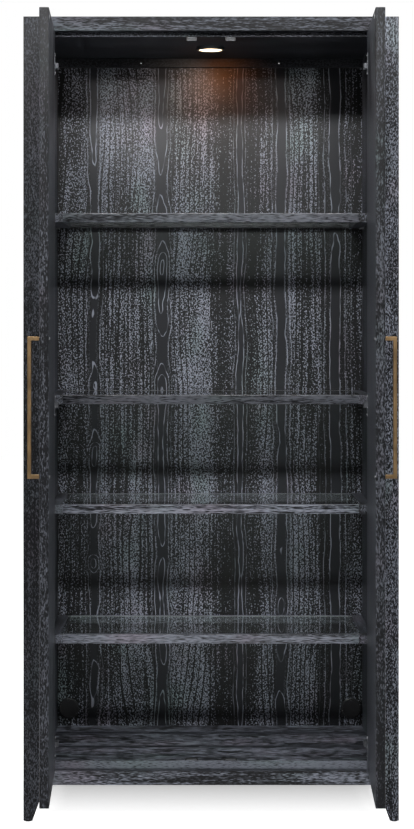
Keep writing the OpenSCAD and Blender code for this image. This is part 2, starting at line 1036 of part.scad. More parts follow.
module screws_left() {
    plate_screw_shafts(0);
    for (z = hinge_levels) {
        for (side = [-1, 1])
            translate([plate_t, plate_y, z + side * plate_screw_z]) rod_x(head_r, head_h);
        translate([arm_low, clamp_y, z]) rod_x(clamp_r, arm_high - arm_low);
        translate([arm_high, clamp_y, z]) rod_x(clamp_head_r, head_h);
    }
}

module hinge_screws() {
    color(nickel) {
        on_left() screws_left();
        on_right() screws_left();
    }
}

top_panel();
ceiling_board();
floor_board();
back_panel();
back_cleat();
front_top_rail();
front_bottom_rail();
rear_top_rail();
rear_bottom_rail();
left_side_rails();
right_side_rails();
front_left_post();
front_right_post();
rear_left_post();
rear_right_post();
left_outer_panel();
right_outer_panel();
left_inner_panel();
right_inner_panel();
rail_dowels();
foot_glides();
back_screws();
top_shelf_cross_rails();
top_shelf_side_rails();
top_shelf_glass();
upper_shelf_cross_rails();
upper_shelf_side_rails();
upper_shelf_glass();
lower_shelf_cross_rails();
lower_shelf_side_rails();
lower_shelf_glass();
bottom_shelf_cross_rails();
bottom_shelf_side_rails();
bottom_shelf_glass();
shelf_pins();
light_housing();
light_lens();
light_board();
cord_grommets();
grommet_caps();
magnet_catches();
left_door();
right_door();
left_pull();
right_pull();
left_pull_screws();
right_pull_screws();
left_strike_plates();
right_strike_plates();
left_hinge_cups();
right_hinge_cups();
left_cup_screws();
right_cup_screws();
left_hinge_links();
right_hinge_links();
left_hinge_pins();
right_hinge_pins();
hinge_arms();
hinge_plates();
hinge_screws();
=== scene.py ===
"""Display cabinet of cerused oak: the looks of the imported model, its studio and its camera."""

import logging
import math
from dataclasses import dataclass, replace
from enum import Enum
from functools import partial
from typing import Any, Callable, Iterable

import bmesh
import bpy
from mathutils import Matrix, Vector


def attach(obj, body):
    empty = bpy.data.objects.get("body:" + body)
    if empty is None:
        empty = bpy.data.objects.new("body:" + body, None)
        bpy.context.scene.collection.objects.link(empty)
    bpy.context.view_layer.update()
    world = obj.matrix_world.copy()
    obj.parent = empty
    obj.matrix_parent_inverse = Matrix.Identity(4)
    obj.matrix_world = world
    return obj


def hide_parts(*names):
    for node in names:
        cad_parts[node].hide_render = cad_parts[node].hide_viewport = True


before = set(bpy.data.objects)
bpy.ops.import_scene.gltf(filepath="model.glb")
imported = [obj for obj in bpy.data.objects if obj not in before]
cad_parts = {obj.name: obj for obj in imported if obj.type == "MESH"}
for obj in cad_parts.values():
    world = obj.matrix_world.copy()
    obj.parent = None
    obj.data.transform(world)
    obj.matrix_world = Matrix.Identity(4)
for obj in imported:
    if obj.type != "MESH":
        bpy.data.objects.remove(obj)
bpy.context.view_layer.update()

log = logging.getLogger("cabinet")

MM = 0.001

# A face looks along an axis where its normal's part along it is greater than this
FACING = 0.9

# Points closer than this are merged, in a spun profile and in a copy of a CAD node
MERGE_SPUN, MERGE_CAD = 1e-6, 2e-6

# The case's front, where the closed doors' outer faces lie
FRONT_Y = -44.716 * MM

SIDES = (("left", -1), ("right", 1))

# Turn a piece that stands along Z so that it lies along Y or X
ALONG_Y = Matrix.Rotation(-math.pi / 2, 4, "X")
ALONG_X = Matrix.Rotation(math.pi / 2, 4, "Y")

# Gives the right side from the left
MIRROR = Matrix.Scale(-1, 4, (1, 0, 0))

# Sockets of a colour Mix node, which has others of the same names
MIX_A, MIX_B, MIXED = 6, 7, 2

# Settings of a Mix node for colours, of a Map Range node with soft ends, and of Math nodes. GREATER
# gives the greater of two values, SIZE leaves the sign out, and FOLD goes up and down in a wave.
BLEND = {"data_type": "RGBA"}
SOFT = {"interpolation_type": "SMOOTHSTEP"}
TIMES, PLUS, MINUS, TIMES_PLUS, GREATER, SIZE, FOLD = (
    {"operation": word}
    for word in ("MULTIPLY", "ADD", "SUBTRACT", "MULTIPLY_ADD", "MAXIMUM", "ABSOLUTE", "PINGPONG")
)

Piece = bpy.types.Object
Material = bpy.types.Material
Node = bpy.types.Node
Socket = bpy.types.NodeSocket
Add = Callable[..., Node]
Place = tuple[float, float, float]
Pairs = tuple[tuple[float, float], ...]


# Colour and node helpers


def linear(code: str) -> tuple[float, float, float, float]:
    """Turns a hex colour as seen on a screen into the linear colour that shaders use.

    Args:
        code: Six hex digits.

    Returns:
        Linear red, green and blue, and an alpha of 1.
    """
    parts = [int(code[i : i + 2], 16) / 255 for i in (0, 2, 4)]
    red, green, blue = (
        c / 12.92 if c <= 0.04045 else ((c + 0.055) / 1.055) ** 2.4 for c in parts
    )
    return red, green, blue, 1.0


def set_inputs(node: Node, inputs: dict[int | str, Any]) -> None:
    """Sets or links a node's inputs.

    Args:
        node: The node.
        inputs: Socket name or number to a value, an output, or a node whose first output counts.
    """
    for key, value in inputs.items():
        if isinstance(value, Node):
            value = value.outputs[0]
        if isinstance(value, Socket):
            node.id_data.links.new(value, node.inputs[key])
        else:
            node.inputs[key].default_value = value


def add_node(
    tree: bpy.types.NodeTree, kind: str, inputs: dict[int | str, Any] | tuple = (), **settings: Any
) -> Node:
    """Adds one shader node with its settings, and sets or links its inputs.

    Args:
        tree: The node tree.
        kind: The node's type without the word ShaderNode, such as Math.
        inputs: As for set_inputs, or the first inputs in their order.
        **settings: The node's own attributes.

    Returns:
        The new node.
    """
    node = tree.nodes.new(f"ShaderNode{kind}")
    for name, value in settings.items():
        setattr(node, name, value)
    set_inputs(node, inputs if isinstance(inputs, dict) else dict(enumerate(inputs)))
    return node


# Modelling helpers


class Element(Enum):
    """What can be selected in a mesh, with the name of bmesh's list of it."""

    EDGE = "edges"
    FACE = "faces"


def set_mode(mode: str) -> None:
    """Goes into edit mode or back to object mode."""
    bpy.ops.object.mode_set(mode=mode)


def add_object(name: str, data: bpy.types.ID) -> Piece:
    """Puts a new object into the scene.

    Args:
        name: The object's name.
        data: Its mesh, lamp or camera.

    Returns:
        The object.
    """
    item = bpy.data.objects.new(name, data)
    bpy.context.scene.collection.objects.link(item)
    return item


def pick(*objects: Piece) -> None:
    """Leaves edit mode and selects only these objects, the first one active.

    Args:
        *objects: The objects to select, or none.
    """
    active = bpy.context.view_layer.objects.active
    if active is not None and active.mode != "OBJECT":
        set_mode("OBJECT")
    bpy.ops.object.select_all(action="DESELECT")
    for item in objects:
        item.select_set(True)
    if objects:
        bpy.context.view_layer.objects.active = objects[0]


def edit_all(piece: Piece) -> None:
    """Goes into edit mode on a piece and selects all of it.

    Args:
        piece: The piece.
    """
    pick(piece)
    set_mode("EDIT")
    bpy.ops.mesh.select_all(action="SELECT")


def face_outwards() -> None:
    """Turns the selected faces outwards and leaves edit mode."""
    bpy.ops.mesh.normals_make_consistent(inside=False)
    set_mode("OBJECT")


def select(piece: Piece, element: Element, test: Callable[[Any], bool]) -> None:
    """Goes into edit mode on a piece and selects edges or faces.

    Args:
        piece: The piece.
        element: What is selected.
        test: Says of an edge or a face whether it is selected.
    """
    pick(piece)
    set_mode("EDIT")
    bpy.ops.mesh.select_mode(type=element.name)
    bpy.ops.mesh.select_all(action="DESELECT")
    mesh = bmesh.from_edit_mesh(piece.data)
    for part in getattr(mesh, element.value):
        if test(part):
            part.select_set(True)
    bmesh.update_edit_mesh(piece.data)


def extrude_faces(vector: Place) -> None:
    """Extrudes the selected faces by a vector, which leaves the new end faces selected."""
    bpy.ops.mesh.extrude_region_move(TRANSFORM_OT_translate={"value": vector})


def round_edges(
    piece: Piece,
    size: float,
    segments: int,
    angle: float = 0.5,
    also: Callable[[bmesh.types.BMEdge], bool] = lambda edge: True,
    clamp: bool = False,
) -> None:
    """Rounds a piece's sharp edges.

    Args:
        piece: The piece.
        size: The rounding's size in metres.
        segments: Its steps.
        angle: How far apart an edge's faces are turned at least, in radians.
        also: What else is asked of an edge.
        clamp: True where roundings stop before they overlap.
    """
    select(
        piece,
        Element.EDGE,
        lambda edge: edge.is_manifold and edge.calc_face_angle(0) > angle and also(edge),
    )
    bpy.ops.mesh.bevel(offset=size, segments=segments, profile=0.5, clamp_overlap=clamp)
    set_mode("OBJECT")


def settle(piece: Piece) -> None:
    """Applies a piece's place, turn and scale, so that it sits at the origin."""
    pick(piece)
    bpy.ops.object.transform_apply(location=True, rotation=True, scale=True)


def add_block(name: str, low: Iterable[float], high: Iterable[float]) -> Piece:
    """Adds a cube primitive at its size and place, for further work in edit mode.

    Args:
        name: The piece's name.
        low: The corner with the least X, Y and Z.
        high: The corner with the greatest X, Y and Z.

    Returns:
        The new piece.
    """
    low, high = Vector(low), Vector(high)
    pick()
    bpy.ops.mesh.primitive_cube_add(size=1, location=(low + high) / 2, scale=high - low)
    piece = bpy.context.object
    piece.name = name
    settle(piece)
    return piece


def smooth(piece: Piece, degrees: float = 35) -> None:
    """Shades a piece smooth, apart from edges sharper than an angle."""
    pick(piece)
    bpy.ops.object.shade_smooth_by_angle(angle=math.radians(degrees))


def apply_modifier(piece: Piece, modifier: bpy.types.Modifier) -> None:
    """Makes what a modifier does a lasting part of a piece."""
    pick(piece)
    bpy.ops.object.modifier_apply(modifier=modifier.name)


def cut_away(piece: Piece, cutter: Piece) -> None:
    """Cuts a shape out of a piece, and removes the shape.

    Args:
        piece: The piece.
        cutter: The shape.
    """
    cut = piece.modifiers.new("cut", "BOOLEAN")
    cut.operation = "DIFFERENCE"
    cut.solver = "EXACT"
    cut.object = cutter
    apply_modifier(piece, cut)
    bpy.data.objects.remove(cutter)


def move_mesh(piece: Piece, matrix: Matrix) -> None:
    """Moves a piece's own mesh, and turns its faces outwards again.

    Args:
        piece: The piece.
        matrix: Where the mesh goes.
    """
    piece.data.transform(matrix)
    edit_all(piece)
    face_outwards()


def join(name: str, pieces: list[Piece]) -> Piece:
    """Joins pieces into the first one, which takes the name.

    Args:
        name: The joined piece's name.
        pieces: The pieces to join.

    Returns:
        The joined piece.
    """
    pick(*pieces)
    bpy.ops.object.join()
    pieces[0].name = name
    return pieces[0]


def place_copies(model: Piece, name: str, matrices: list[Matrix]) -> Piece:
    """Puts a copy of a model at every place, joins the copies and removes the model.

    Args:
        model: The model.
        name: The joined piece's name.
        matrices: Where the copies go.

    Returns:
        The joined piece.
    """
    copies = []
    for number, matrix in enumerate(matrices):
        copies.append(add_object(f"{name}_{number}", model.data.copy()))
        move_mesh(copies[-1], matrix)
    bpy.data.objects.remove(model)
    return join(name, copies)


def spin_profile(name: str, points: Pairs, steps: int = 64, closed: bool = False) -> Piece:
    """Spins a profile once round the Z axis.

    Args:
        name: The piece's name.
        points: Radius and height of each profile point, in metres.
        steps: Steps of the full turn.
        closed: True where the last point joins the first, as in a ring.

    Returns:
        The new piece, at the origin.
    """
    mesh = bpy.data.meshes.new(name)
    edges = [(i, i + 1) for i in range(len(points) - 1)]
    if closed:
        edges.append((len(points) - 1, 0))
    mesh.from_pydata([(radius, 0, height) for radius, height in points], edges, [])
    piece = add_object(name, mesh)
    edit_all(piece)
    bpy.ops.mesh.spin(steps=steps, angle=math.tau, center=(0, 0, 0), axis=(0, 0, 1))
    bpy.ops.mesh.select_all(action="SELECT")
    bpy.ops.mesh.remove_doubles(threshold=MERGE_SPUN)
    face_outwards()
    smooth(piece)
    return piece


def eased(node: str, ease: float, shortest: float = 15 * MM) -> Piece:
    """Copies a CAD node, merges it and rounds its long edges, as sanding and lacquer leave them.

    Args:
        node: The CAD node that the copy stands for.
        ease: The rounding's size in metres.
        shortest: Edges shorter than this, such as those of round holes, stay sharp.

    Returns:
        The eased copy.
    """
    piece = add_object(f"eased_{node}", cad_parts[node].data.copy())
    piece.data.materials.clear()
    pick(piece)
    bpy.ops.mesh.customdata_custom_splitnormals_clear()
    edit_all(piece)
    bpy.ops.mesh.remove_doubles(threshold=MERGE_CAD)
    bpy.ops.mesh.dissolve_limited(angle_limit=math.radians(0.5))
    face_outwards()
    corner = math.radians(40)
    round_edges(piece, ease, 2, corner, lambda edge: edge.calc_length() > shortest, clamp=True)
    smooth(piece, 40)
    return piece


def dress(piece: Piece, material: Material, slot: str, body: str, *nodes: str) -> Piece:
    """Gives a new piece its material and its place in the assembly.

    Its large faces are made to shade flat, so that only the eased edges look round.

    Args:
        piece: The piece.
        material: Its material.
        slot: The slot that the piece belongs to; not used.
        body: The body that it moves with.
        *nodes: The CAD nodes that it stands for.

    Returns:
        The same piece.
    """
    even = piece.modifiers.new("even", "WEIGHTED_NORMAL")
    even.keep_sharp = True
    apply_modifier(piece, even)
    piece.data.materials.clear()
    piece.data.materials.append(material)
    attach(piece, body)
    if nodes:
        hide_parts(*nodes)
    log.info("%s: %d faces, rides on %s", piece.name, len(piece.data.polygons), body)
    return piece


def add_second(
    piece: Piece, material: Material, test: Callable[[bpy.types.MeshPolygon], bool]
) -> None:
    """Gives some faces of a dressed piece a second material.

    Args:
        piece: The piece.
        material: The second material.
        test: Says of a face whether it takes it.
    """
    piece.data.materials.append(material)
    for face in piece.data.polygons:
        face.material_index = int(test(face))


def finish_node(node: str, material: Material) -> None:
    """Gives a CAD node that stays as it is its finished material.

    Args:
        node: The CAD node.
        material: Its material.
    """
    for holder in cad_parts[node].material_slots:
        holder.material = material
    log.info("%s: carried over with %s", node, material.name)


# Finishes


@dataclass(frozen=True)
class Finish:
    """A procedural material that is drawn in the object's own coordinates."""

    name: str

    def build(self) -> Material:
        """Builds the material.

        Returns:
            The material.
        """
        material = bpy.data.materials.new(self.name)
        material.use_nodes = True
        tree = material.node_tree
        tree.nodes.clear()
        add = partial(add_node, tree)
        shader = add("BsdfPrincipled")
        add("OutputMaterial", {"Surface": shader})
        set_inputs(shader, self.draw(add, add("TexCoord").outputs["Object"]))
        return material

    def draw(self, add: Add, spot: Socket) -> dict[int | str, Any]:
        """Draws the surface.

        Args:
            add: Adds a node to the material.
            spot: The place on the piece.

        Returns:
            The shader's inputs.
        """
        raise NotImplementedError


class Grain(Enum):
    """The axes across the grain, along it and through the board."""

    UPRIGHT = ("X", "Z", "Y")
    UPRIGHT_SIDE = ("Y", "Z", "X")
    ACROSS = ("Z", "X", "Y")
    ACROSS_FLAT = ("Y", "X", "Z")
    INWARD = ("X", "Y", "Z")
    INWARD_SIDE = ("Z", "Y", "X")


@dataclass(frozen=True)
class Heart:
    """A streak where the cut runs near the middle of the trunk.

    Bends gives, by the share of the board's length, how deep the middle lies behind the cut face,
    counted in year rings. Where it passes a whole number, a ring closes in an arch.
    """

    place: float
    half: float = 11 * MM
    ring: float = 8 * MM
    bends: Pairs = ((0.0, 1.7), (0.2, 1.3), (0.4, 2.3), (0.55, 1.6), (0.8, 1.8), (1.0, 1.4))


@dataclass(frozen=True)
class CerusedOak(Finish):
    """Cerused oak: oak stained blue-black, then limed.

    Pale liming paste is rubbed into the open pores and wiped off the face, so the eye sees a dense
    sprinkle of short pale dashes on near-black wood, in streaks that follow the year rings, and
    plain dark bands between pale lines and arches where the cut runs near the heart of the trunk.
    A thin satin lacquer lies over it. Real pores are 0.3 mm wide and 3 to 8 mm long. They are
    drawn in bundles of 1.6 to 4 mm, coarser than life, so that they show at the photograph's size.
    Ring_gap, where it is set, is the space between thin plain lines that follow the year rings.
    Thin names places across the board where lime is scarce, each with its half width and by how
    much.
    """

    grain: Grain
    hearts: tuple[Heart, ...] = ()
    start: float = 0.0
    span: float = 2.2
    fleck_width: float = 2.6 * MM
    fleck_length: float = 5.0 * MM
    cover: float = 0.45
    edge: float = 0.05
    streaks: float = 0.55
    streak_width: float = 7 * MM
    ring_gap: float = 0.0
    lime: float = 0.62
    seed: float = 0.0
    thin: tuple[Place, ...] = ()
    coat: float = 0.3
    stain: tuple[str, str] = ("0a0b0e", "1c1e24")
    paste: tuple[str, str, str] = ("9196a3", "87969a", "95919f")
    roughness: tuple[float, float] = (0.42, 0.62)

    # The greatest depth of a heart, in rings, and how much patches and streaks change the limit
    DEEPEST = 5.0
    UNEVEN = 0.22

    # How wide a ring's pale line is where it runs across the cut, and its least share of a ring
    LINE = 1.1 * MM
    THINNEST = 0.025

    def noise(
        self,
        add: Add,
        spot: Socket,
        cells: tuple[float, float],
        shift: float,
        detail: float = 0.0,
        bend: float = 0.0,
    ) -> Node:
        """Adds a noise that is stretched along the grain.

        Args:
            add: Adds a node to the material.
            spot: The place on the piece.
            cells: Noise cells in a metre across the grain and along it.
            shift: Moves the noise, so that each one differs.
            detail: Finer layers added to the noise.
            bend: How far the noise is bent by another noise.

        Returns:
            The noise, about 0 to 1.
        """
        place = (self.seed + shift, self.seed * 1.7 + shift, self.seed * 0.6 + shift)
        scales = dict.fromkeys("XYZ", cells[0]) | {self.grain.value[1]: cells[1]}
        stretch = {"Vector": spot, "Location": place, "Scale": tuple(scales.values())}
        field = {"Vector": add("Mapping", stretch), "Scale": 1.0}
        return add("TexNoise", field | {"Detail": detail, "Distortion": bend})

    def draw(self, add: Add, spot: Socket) -> dict[int | str, Any]:
        """Draws paste in the pores and rings over the stained ground.

        Args:
            add: Adds a node to the material.
            spot: The place on the piece.

        Returns:
            The shader's inputs.
        """
        band, shut, lines = self.rings(add, spot)
        porous = add("Math", (1.0, shut), **MINUS)
        dashes = add("Math", (self.sprinkle(add, spot), porous), **TIMES)
        limed = add("Math", (dashes, lines), **GREATER)

        dark, plain = map(linear, self.stain)
        ground = add("Mix", {0: band, MIX_A: dark, MIX_B: plain}, **BLEND).outputs[MIXED]
        filler = linear(self.paste[0])
        for cells, shift, tone in (((9, 5), 2.3, self.paste[1]), ((7, 6), 8.9, self.paste[2])):
            cloud = self.noise(add, spot, cells, shift, detail=1)
            share = add("MapRange", (cloud, 0.50, 0.80), **SOFT)
            tones = {0: share, MIX_A: filler, MIX_B: linear(tone)}
            filler = add("Mix", tones, **BLEND).outputs[MIXED]
        covered = add("Math", (limed, self.lime), **TIMES)
        colour = add("Mix", {0: covered, MIX_A: ground, MIX_B: filler}, **BLEND)
        return {
            "Base Color": colour.outputs[MIXED],
            "Specular IOR Level": self.coat,
            "Roughness": add("MapRange", (limed, 0.0, 1.0, *self.roughness), **SOFT),
            "Normal": add("Bump", {"Strength": 0.3, "Distance": 0.2 * MM, "Height": limed}),
        }

    def sprinkle(self, add: Add, spot: Socket) -> Node:
        """Draws the lime in the pores: dashes that crowd and thin out in streaks.

        Args:
            add: Adds a node to the material.
            spot: The place on the piece.

        Returns:
            The share of lime, 0 to 1.
        """
        cells = (1 / self.fleck_width, 1 / self.fleck_length)
        fine = self.noise(add, spot, cells, 4.1, detail=1.0, bend=0.5)
        patch = self.noise(add, spot, (22, 5), 9.3, detail=1)
        limit = add("Math", (patch, -self.UNEVEN, 1.06 - self.cover), **TIMES_PLUS)

        # Streaks that are poor in lime, in some zones of the board
        zone = self.noise(add, spot, (12, 1.2), 12.9)
        strength = add("Math", (add("MapRange", (zone, 0.40, 0.62), **SOFT), self.streaks), **TIMES)
        streak = self.noise(add, spot, (1 / self.streak_width, 3.0), 6.7, detail=1.5)
        inside = add("MapRange", (streak, 0.60, 0.40), **SOFT)
        thinned = add("Math", (inside, strength), **TIMES)
        limit = add("Math", (thinned, self.UNEVEN, limit), **TIMES_PLUS)

        across = add("SeparateXYZ", (spot,)).outputs[self.grain.value[0]]
        if self.ring_gap:
            drift = self.noise(add, spot, (6, 1.5), 15.3, detail=1.5)
            wander = add("Math", (drift, 7.0), **TIMES)
            number = add("Math", (across, 1 / self.ring_gap, wander), **TIMES_PLUS)
            line = add("MapRange", (add("Math", (number, 0.5), **FOLD), 0.13, 0.05), **SOFT)
            plain = self.noise(add, spot, (16, 1.6), 18.1)
            shown = add("MapRange", (plain, 0.38, 0.60, 0.02, 0.30), **SOFT)
            limit = add("Math", (limit, add("Math", (line, shown), **TIMES)), **PLUS)
        for place, half, strength in self.thin:
            gap = add("Math", (add("Math", (across, place), **MINUS),), **SIZE)
            poor = add("MapRange", (gap, half * 1.3, half * 0.6, 0.0, strength), **SOFT)
            limit = add("Math", (limit, poor), **PLUS)
        over = add("Math", (fine, limit), **MINUS)
        return add("MapRange", (over, -self.edge, self.edge), **SOFT)

    def rings(self, add: Add, spot: Socket) -> tuple[Any, Any, Any]:
        """Draws the plain bands at the hearts of the trunk, with the rings as pale lines.

        Args:
            add: Adds a node to the material.
            spot: The place on the piece.

        Returns:
            Where the plain bands run, where no dashes show, and where the pale lines run.
        """
        bands: Any = 0.0
        shut: Any = 0.0
        lines: Any = 0.0
        if not self.hearts:
            return bands, shut, lines
        axes = add("SeparateXYZ", (spot,))
        across, along = (axes.outputs[axis] for axis in self.grain.value[:2])
        share = add("MapRange", (along, self.start, self.start + self.span))

        # The hearts wander sideways, their depth is uneven, and their lines are worn in places
        wander = self.noise(add, spot, (8, 6), 3.1, detail=3)
        aside = add("Math", (wander, 0.026, -0.013), **TIMES_PLUS)
        side = add("Math", (across, aside), **PLUS)
        uneven = self.noise(add, spot, (30, 14), 7.7, detail=2)
        rough = add("Math", (uneven, 0.9, -0.45), **TIMES_PLUS)
        worn = self.noise(add, spot, (120, 30), 5.2, detail=1)
        broken = add("MapRange", (worn, 0.34, 0.60, 0.15, 1.0), **SOFT)
        for heart in self.hearts:
            gap = add("Math", (add("Math", (side, heart.place), **MINUS),), **SIZE)
            band = add("MapRange", (gap, heart.half * 1.15, heart.half * 0.7), **SOFT)
            near = add("MapRange", (gap, heart.half + 2.6 * heart.ring, heart.half), **SOFT)
            curve = add("FloatCurve", {"Value": share})
            points = curve.mapping.curves[0].points
            while len(points) < len(heart.bends):
                points.new(0.5, 0.5)
            for point, (at, depth) in zip(points, sorted(heart.bends)):
                point.location = (at, depth / self.DEEPEST)
            curve.mapping.update()

            # A ring's number is its distance from the heart, which lies deep behind the face
            deep = add("Math", (add("Math", (curve, self.DEEPEST), **TIMES), rough), **PLUS)
            wide = add("Math", (gap, heart.ring), operation="DIVIDE")
            squares = tuple(add("Math", (value, value), **TIMES) for value in (wide, deep))
            count = add("Math", (add("Math", squares, **PLUS),), operation="SQRT")
            off = add("Math", (count, 0.5), **FOLD)

            # Lines widen where the ring runs across the cut
            slope = add("Math", (wide, count), operation="DIVIDE")
            slim = add("Math", (slope, self.LINE / heart.ring, self.THINNEST), **TIMES_PLUS)
            line = add("MapRange", (off, slim, add("Math", (slim, 0.4), **TIMES)), **SOFT)
            shown = add("Math", (add("Math", (line, near), **TIMES), broken), **TIMES)
            dark = add("Math", (add("MapRange", (off, 0.10, 0.24), **SOFT), near), **TIMES)
            plain = add("Math", (band, add("Math", (dark, 0.85), **TIMES)), **GREATER)
            bands = add("Math", (bands, band), **GREATER)
            shut = add("Math", (shut, plain), **GREATER)
            lines = add("Math", (lines, shown), **GREATER)
        return bands, shut, lines


@dataclass(frozen=True)
class Metal(Finish):
    """A metal finish with fine lines from brushing or rolling, and slow changes of tone.

    The lines run along Z, closely spaced, and make the highlight long and soft.
    """

    tones: tuple[str, str]
    roughness: tuple[float, float]
    cloud: float
    line: float

    def draw(self, add: Add, spot: Socket) -> dict[int | str, Any]:
        """Draws the lines and the changes of tone.

        Args:
            add: Adds a node to the material.
            spot: The place on the piece.

        Returns:
            The shader's inputs.
        """
        clouds = add("TexNoise", {"Vector": spot, "Scale": 1 / self.cloud, "Detail": 4})
        drawn = add("Mapping", {"Vector": spot, "Scale": (1 / self.line, 1 / self.line, 12)})
        lines = add("TexNoise", {"Vector": drawn, "Scale": 1, "Detail": 2})
        share = add("MapRange", (clouds, 0.35, 0.65))
        dark, pale = map(linear, self.tones)
        tone = add("Mix", {0: share, MIX_A: dark, MIX_B: pale}, **BLEND)
        return {
            "Base Color": tone.outputs[MIXED],
            "Metallic": 1.0,
            "Roughness": add("MapRange", (lines, 0.3, 0.7, *self.roughness)),
            "Normal": add("Bump", {"Strength": 0.15, "Distance": 0.05 * MM, "Height": lines}),
        }


@dataclass(frozen=True)
class Moulded(Finish):
    """An opaque material with a fine, even texture, such as moulded plastic or turned wood.

    The eye sees one colour with a soft highlight that the texture breaks up slightly.
    """

    tones: tuple[str, str]
    roughness: float
    grain: float
    relief: float

    def draw(self, add: Add, spot: Socket) -> dict[int | str, Any]:
        """Draws the texture and slow changes of tone.

        Args:
            add: Adds a node to the material.
            spot: The place on the piece.

        Returns:
            The shader's inputs.
        """
        texture = add("TexNoise", {"Vector": spot, "Scale": 1 / self.grain, "Detail": 3})
        slow = add("TexNoise", {"Vector": spot, "Scale": 40.0, "Detail": 2})
        dark, pale = map(linear, self.tones)
        bumps = {"Strength": self.relief, "Distance": 0.1 * MM, "Height": texture}
        return {
            "Base Color": add("Mix", {0: slow, MIX_A: dark, MIX_B: pale}, **BLEND).outputs[MIXED],
            "Roughness": self.roughness,
            "Normal": add("Bump", bumps),
        }


@dataclass(frozen=True)
class FloatGlass(Finish):
    """Clear float glass, cast on molten tin, which gives it flat, fire-polished faces.

    Iron in it makes the edges green-grey, and dust and cleaning leave a faint uneven haze. The
    studio light meets the panes at a slant, where their faces throw a good part of it back, so they
    shade what is below.
    """

    name: str = "float_glass"
    tint: str = "e6ede9"
    shade: str = "d9dcda"
    haze: float = 0.12

    def draw(self, add: Add, spot: Socket) -> dict[int | str, Any]:
        """Draws the haze.

        Args:
            add: Adds a node to the material.
            spot: The place on the piece.

        Returns:
            The shader's inputs.
        """
        clouds = add("TexNoise", {"Vector": spot, "Scale": 1 / self.haze})
        return {
            "Base Color": linear(self.tint),
            "Transmission Weight": 1.0,
            "IOR": 1.5,
            "Roughness": add("MapRange", (clouds, 0.3, 0.7, 0.0, 0.012)),
        }

    def build(self) -> Material:
        """Builds the material, and lets diffuse and shadow rays straight through.

        Returns:
            The material.
        """
        material = super().build()
        add = partial(add_node, material.node_tree)
        rays = add("LightPath")
        through = add("BsdfTransparent", (linear(self.shade),))
        output = next(n for n in material.node_tree.nodes if n.type == "OUTPUT_MATERIAL")
        surface = output.inputs[0].links[0].from_socket
        for ray in ("Is Diffuse Ray", "Is Shadow Ray"):
            surface = add("MixShader", (rays.outputs[ray], surface, through)).outputs[0]
        set_inputs(output, {0: surface})
        return material


@dataclass(frozen=True)
class FrostedLens(Finish):
    """The lens of the ceiling light: opal acrylic, lit from behind by warm LEDs.

    It glows almost evenly and is brightest in the middle.
    """

    name: str = "frosted_lens"
    warm: str = "ffdcae"
    strength: float = 9.0
    centre: tuple[float, float] = (0.0, 0.0)
    radius: float = 0.033

    def draw(self, add: Add, spot: Socket) -> dict[int | str, Any]:
        """Draws the glow.

        Args:
            add: Adds a node to the material.
            spot: The place on the piece.

        Returns:
            The shader's inputs.
        """
        x, y = self.centre
        away = add("Mapping", {"Vector": spot, "Location": (-x, -y, 0), "Scale": (1, 1, 0)})
        distance = add("VectorMath", (away,), operation="LENGTH").outputs["Value"]
        fading = (distance, 0.0, self.radius, self.strength, self.strength * 0.45)
        grain = add("TexNoise", {"Vector": spot, "Scale": 1500.0})
        return {
            "Base Color": linear("f4f1ea"),
            "Roughness": 0.5,
            "Emission Color": linear(self.warm),
            "Emission Strength": add("MapRange", fading),
            "Normal": add("Bump", {"Strength": 0.2, "Distance": 0.1 * MM, "Height": grain}),
        }


@dataclass(frozen=True)
class StudioFloor(Finish):
    """Pale painted floor, whose glow to the camera keeps it white outside the soft shadow.

    The glow paints the soft shadow: it is least under the cabinet and grows with the distance from
    the case's middle in X, past the feet and three times as fast, or in Y, whichever is greater.
    """

    name: str = "studio_floor"
    # Glow under the cabinet, which paints its soft shadow
    painted_shadow_glow: float = 0.50
    full: float = 0.97
    reach: tuple[float, float] = (0.06, 0.37)
    feet_x: float = 0.42
    middle_y: float = 0.45

    def draw(self, add: Add, spot: Socket) -> dict[int | str, Any]:
        """Draws the glow.

        Args:
            add: Adds a node to the material.
            spot: The place on the floor.

        Returns:
            The shader's inputs.
        """
        axes = add("SeparateXYZ", (spot,))
        away = []
        for axis, middle, start, speed in (
            ("X", 0.0, self.feet_x, 3.0),
            ("Y", self.middle_y, 0.0, 1.0),
        ):
            gap = add("Math", (add("Math", (axes.outputs[axis], middle), **MINUS),), **SIZE)
            away.append(add("Math", (gap, speed, -start * speed), **TIMES_PLUS))
        farther = add("Math", tuple(away), **GREATER)
        # The camera's glow is painted shadow: least under the cabinet, full farther out
        pale = add("MapRange", (farther, *self.reach, self.painted_shadow_glow, self.full))
        seen = add("LightPath").outputs["Is Camera Ray"]
        return {
            "Base Color": linear("e8e8e8"),
            "Roughness": 0.9,
            "Emission Color": linear("ffffff"),
            "Emission Strength": add("Math", (seen, pale), **TIMES),
        }


# The cabinet


# How deep the heart of the trunk lies behind the back panel's face, from the floor upwards: heights
# in millimetres, and depths in year rings

# Left streak, with a knot and a spindle low down
BACK_LEFT = (
    (145, 3.3), (230, 3.0), (295, 2.7), (365, 3.0), (405, 3.1), (525, 2.4), (595, 2.0),
    (615, 1.0), (630, 0.2), (645, 1.0), (660, 2.0), (695, 2.2), (780, 1.5), (835, 1.7),
    (900, 1.4), (945, 0.3), (980, 2.0), (1015, 3.0), (1065, 3.3), (1105, 2.6), (1140, 1.9),
    (1170, 2.4), (1205, 3.0), (1295, 3.15), (1360, 3.0), (1425, 2.8), (1585, 2.5), (1730, 2.35),
    (1780, 2.0), (1905, 1.6), (2090, 1.3),
)

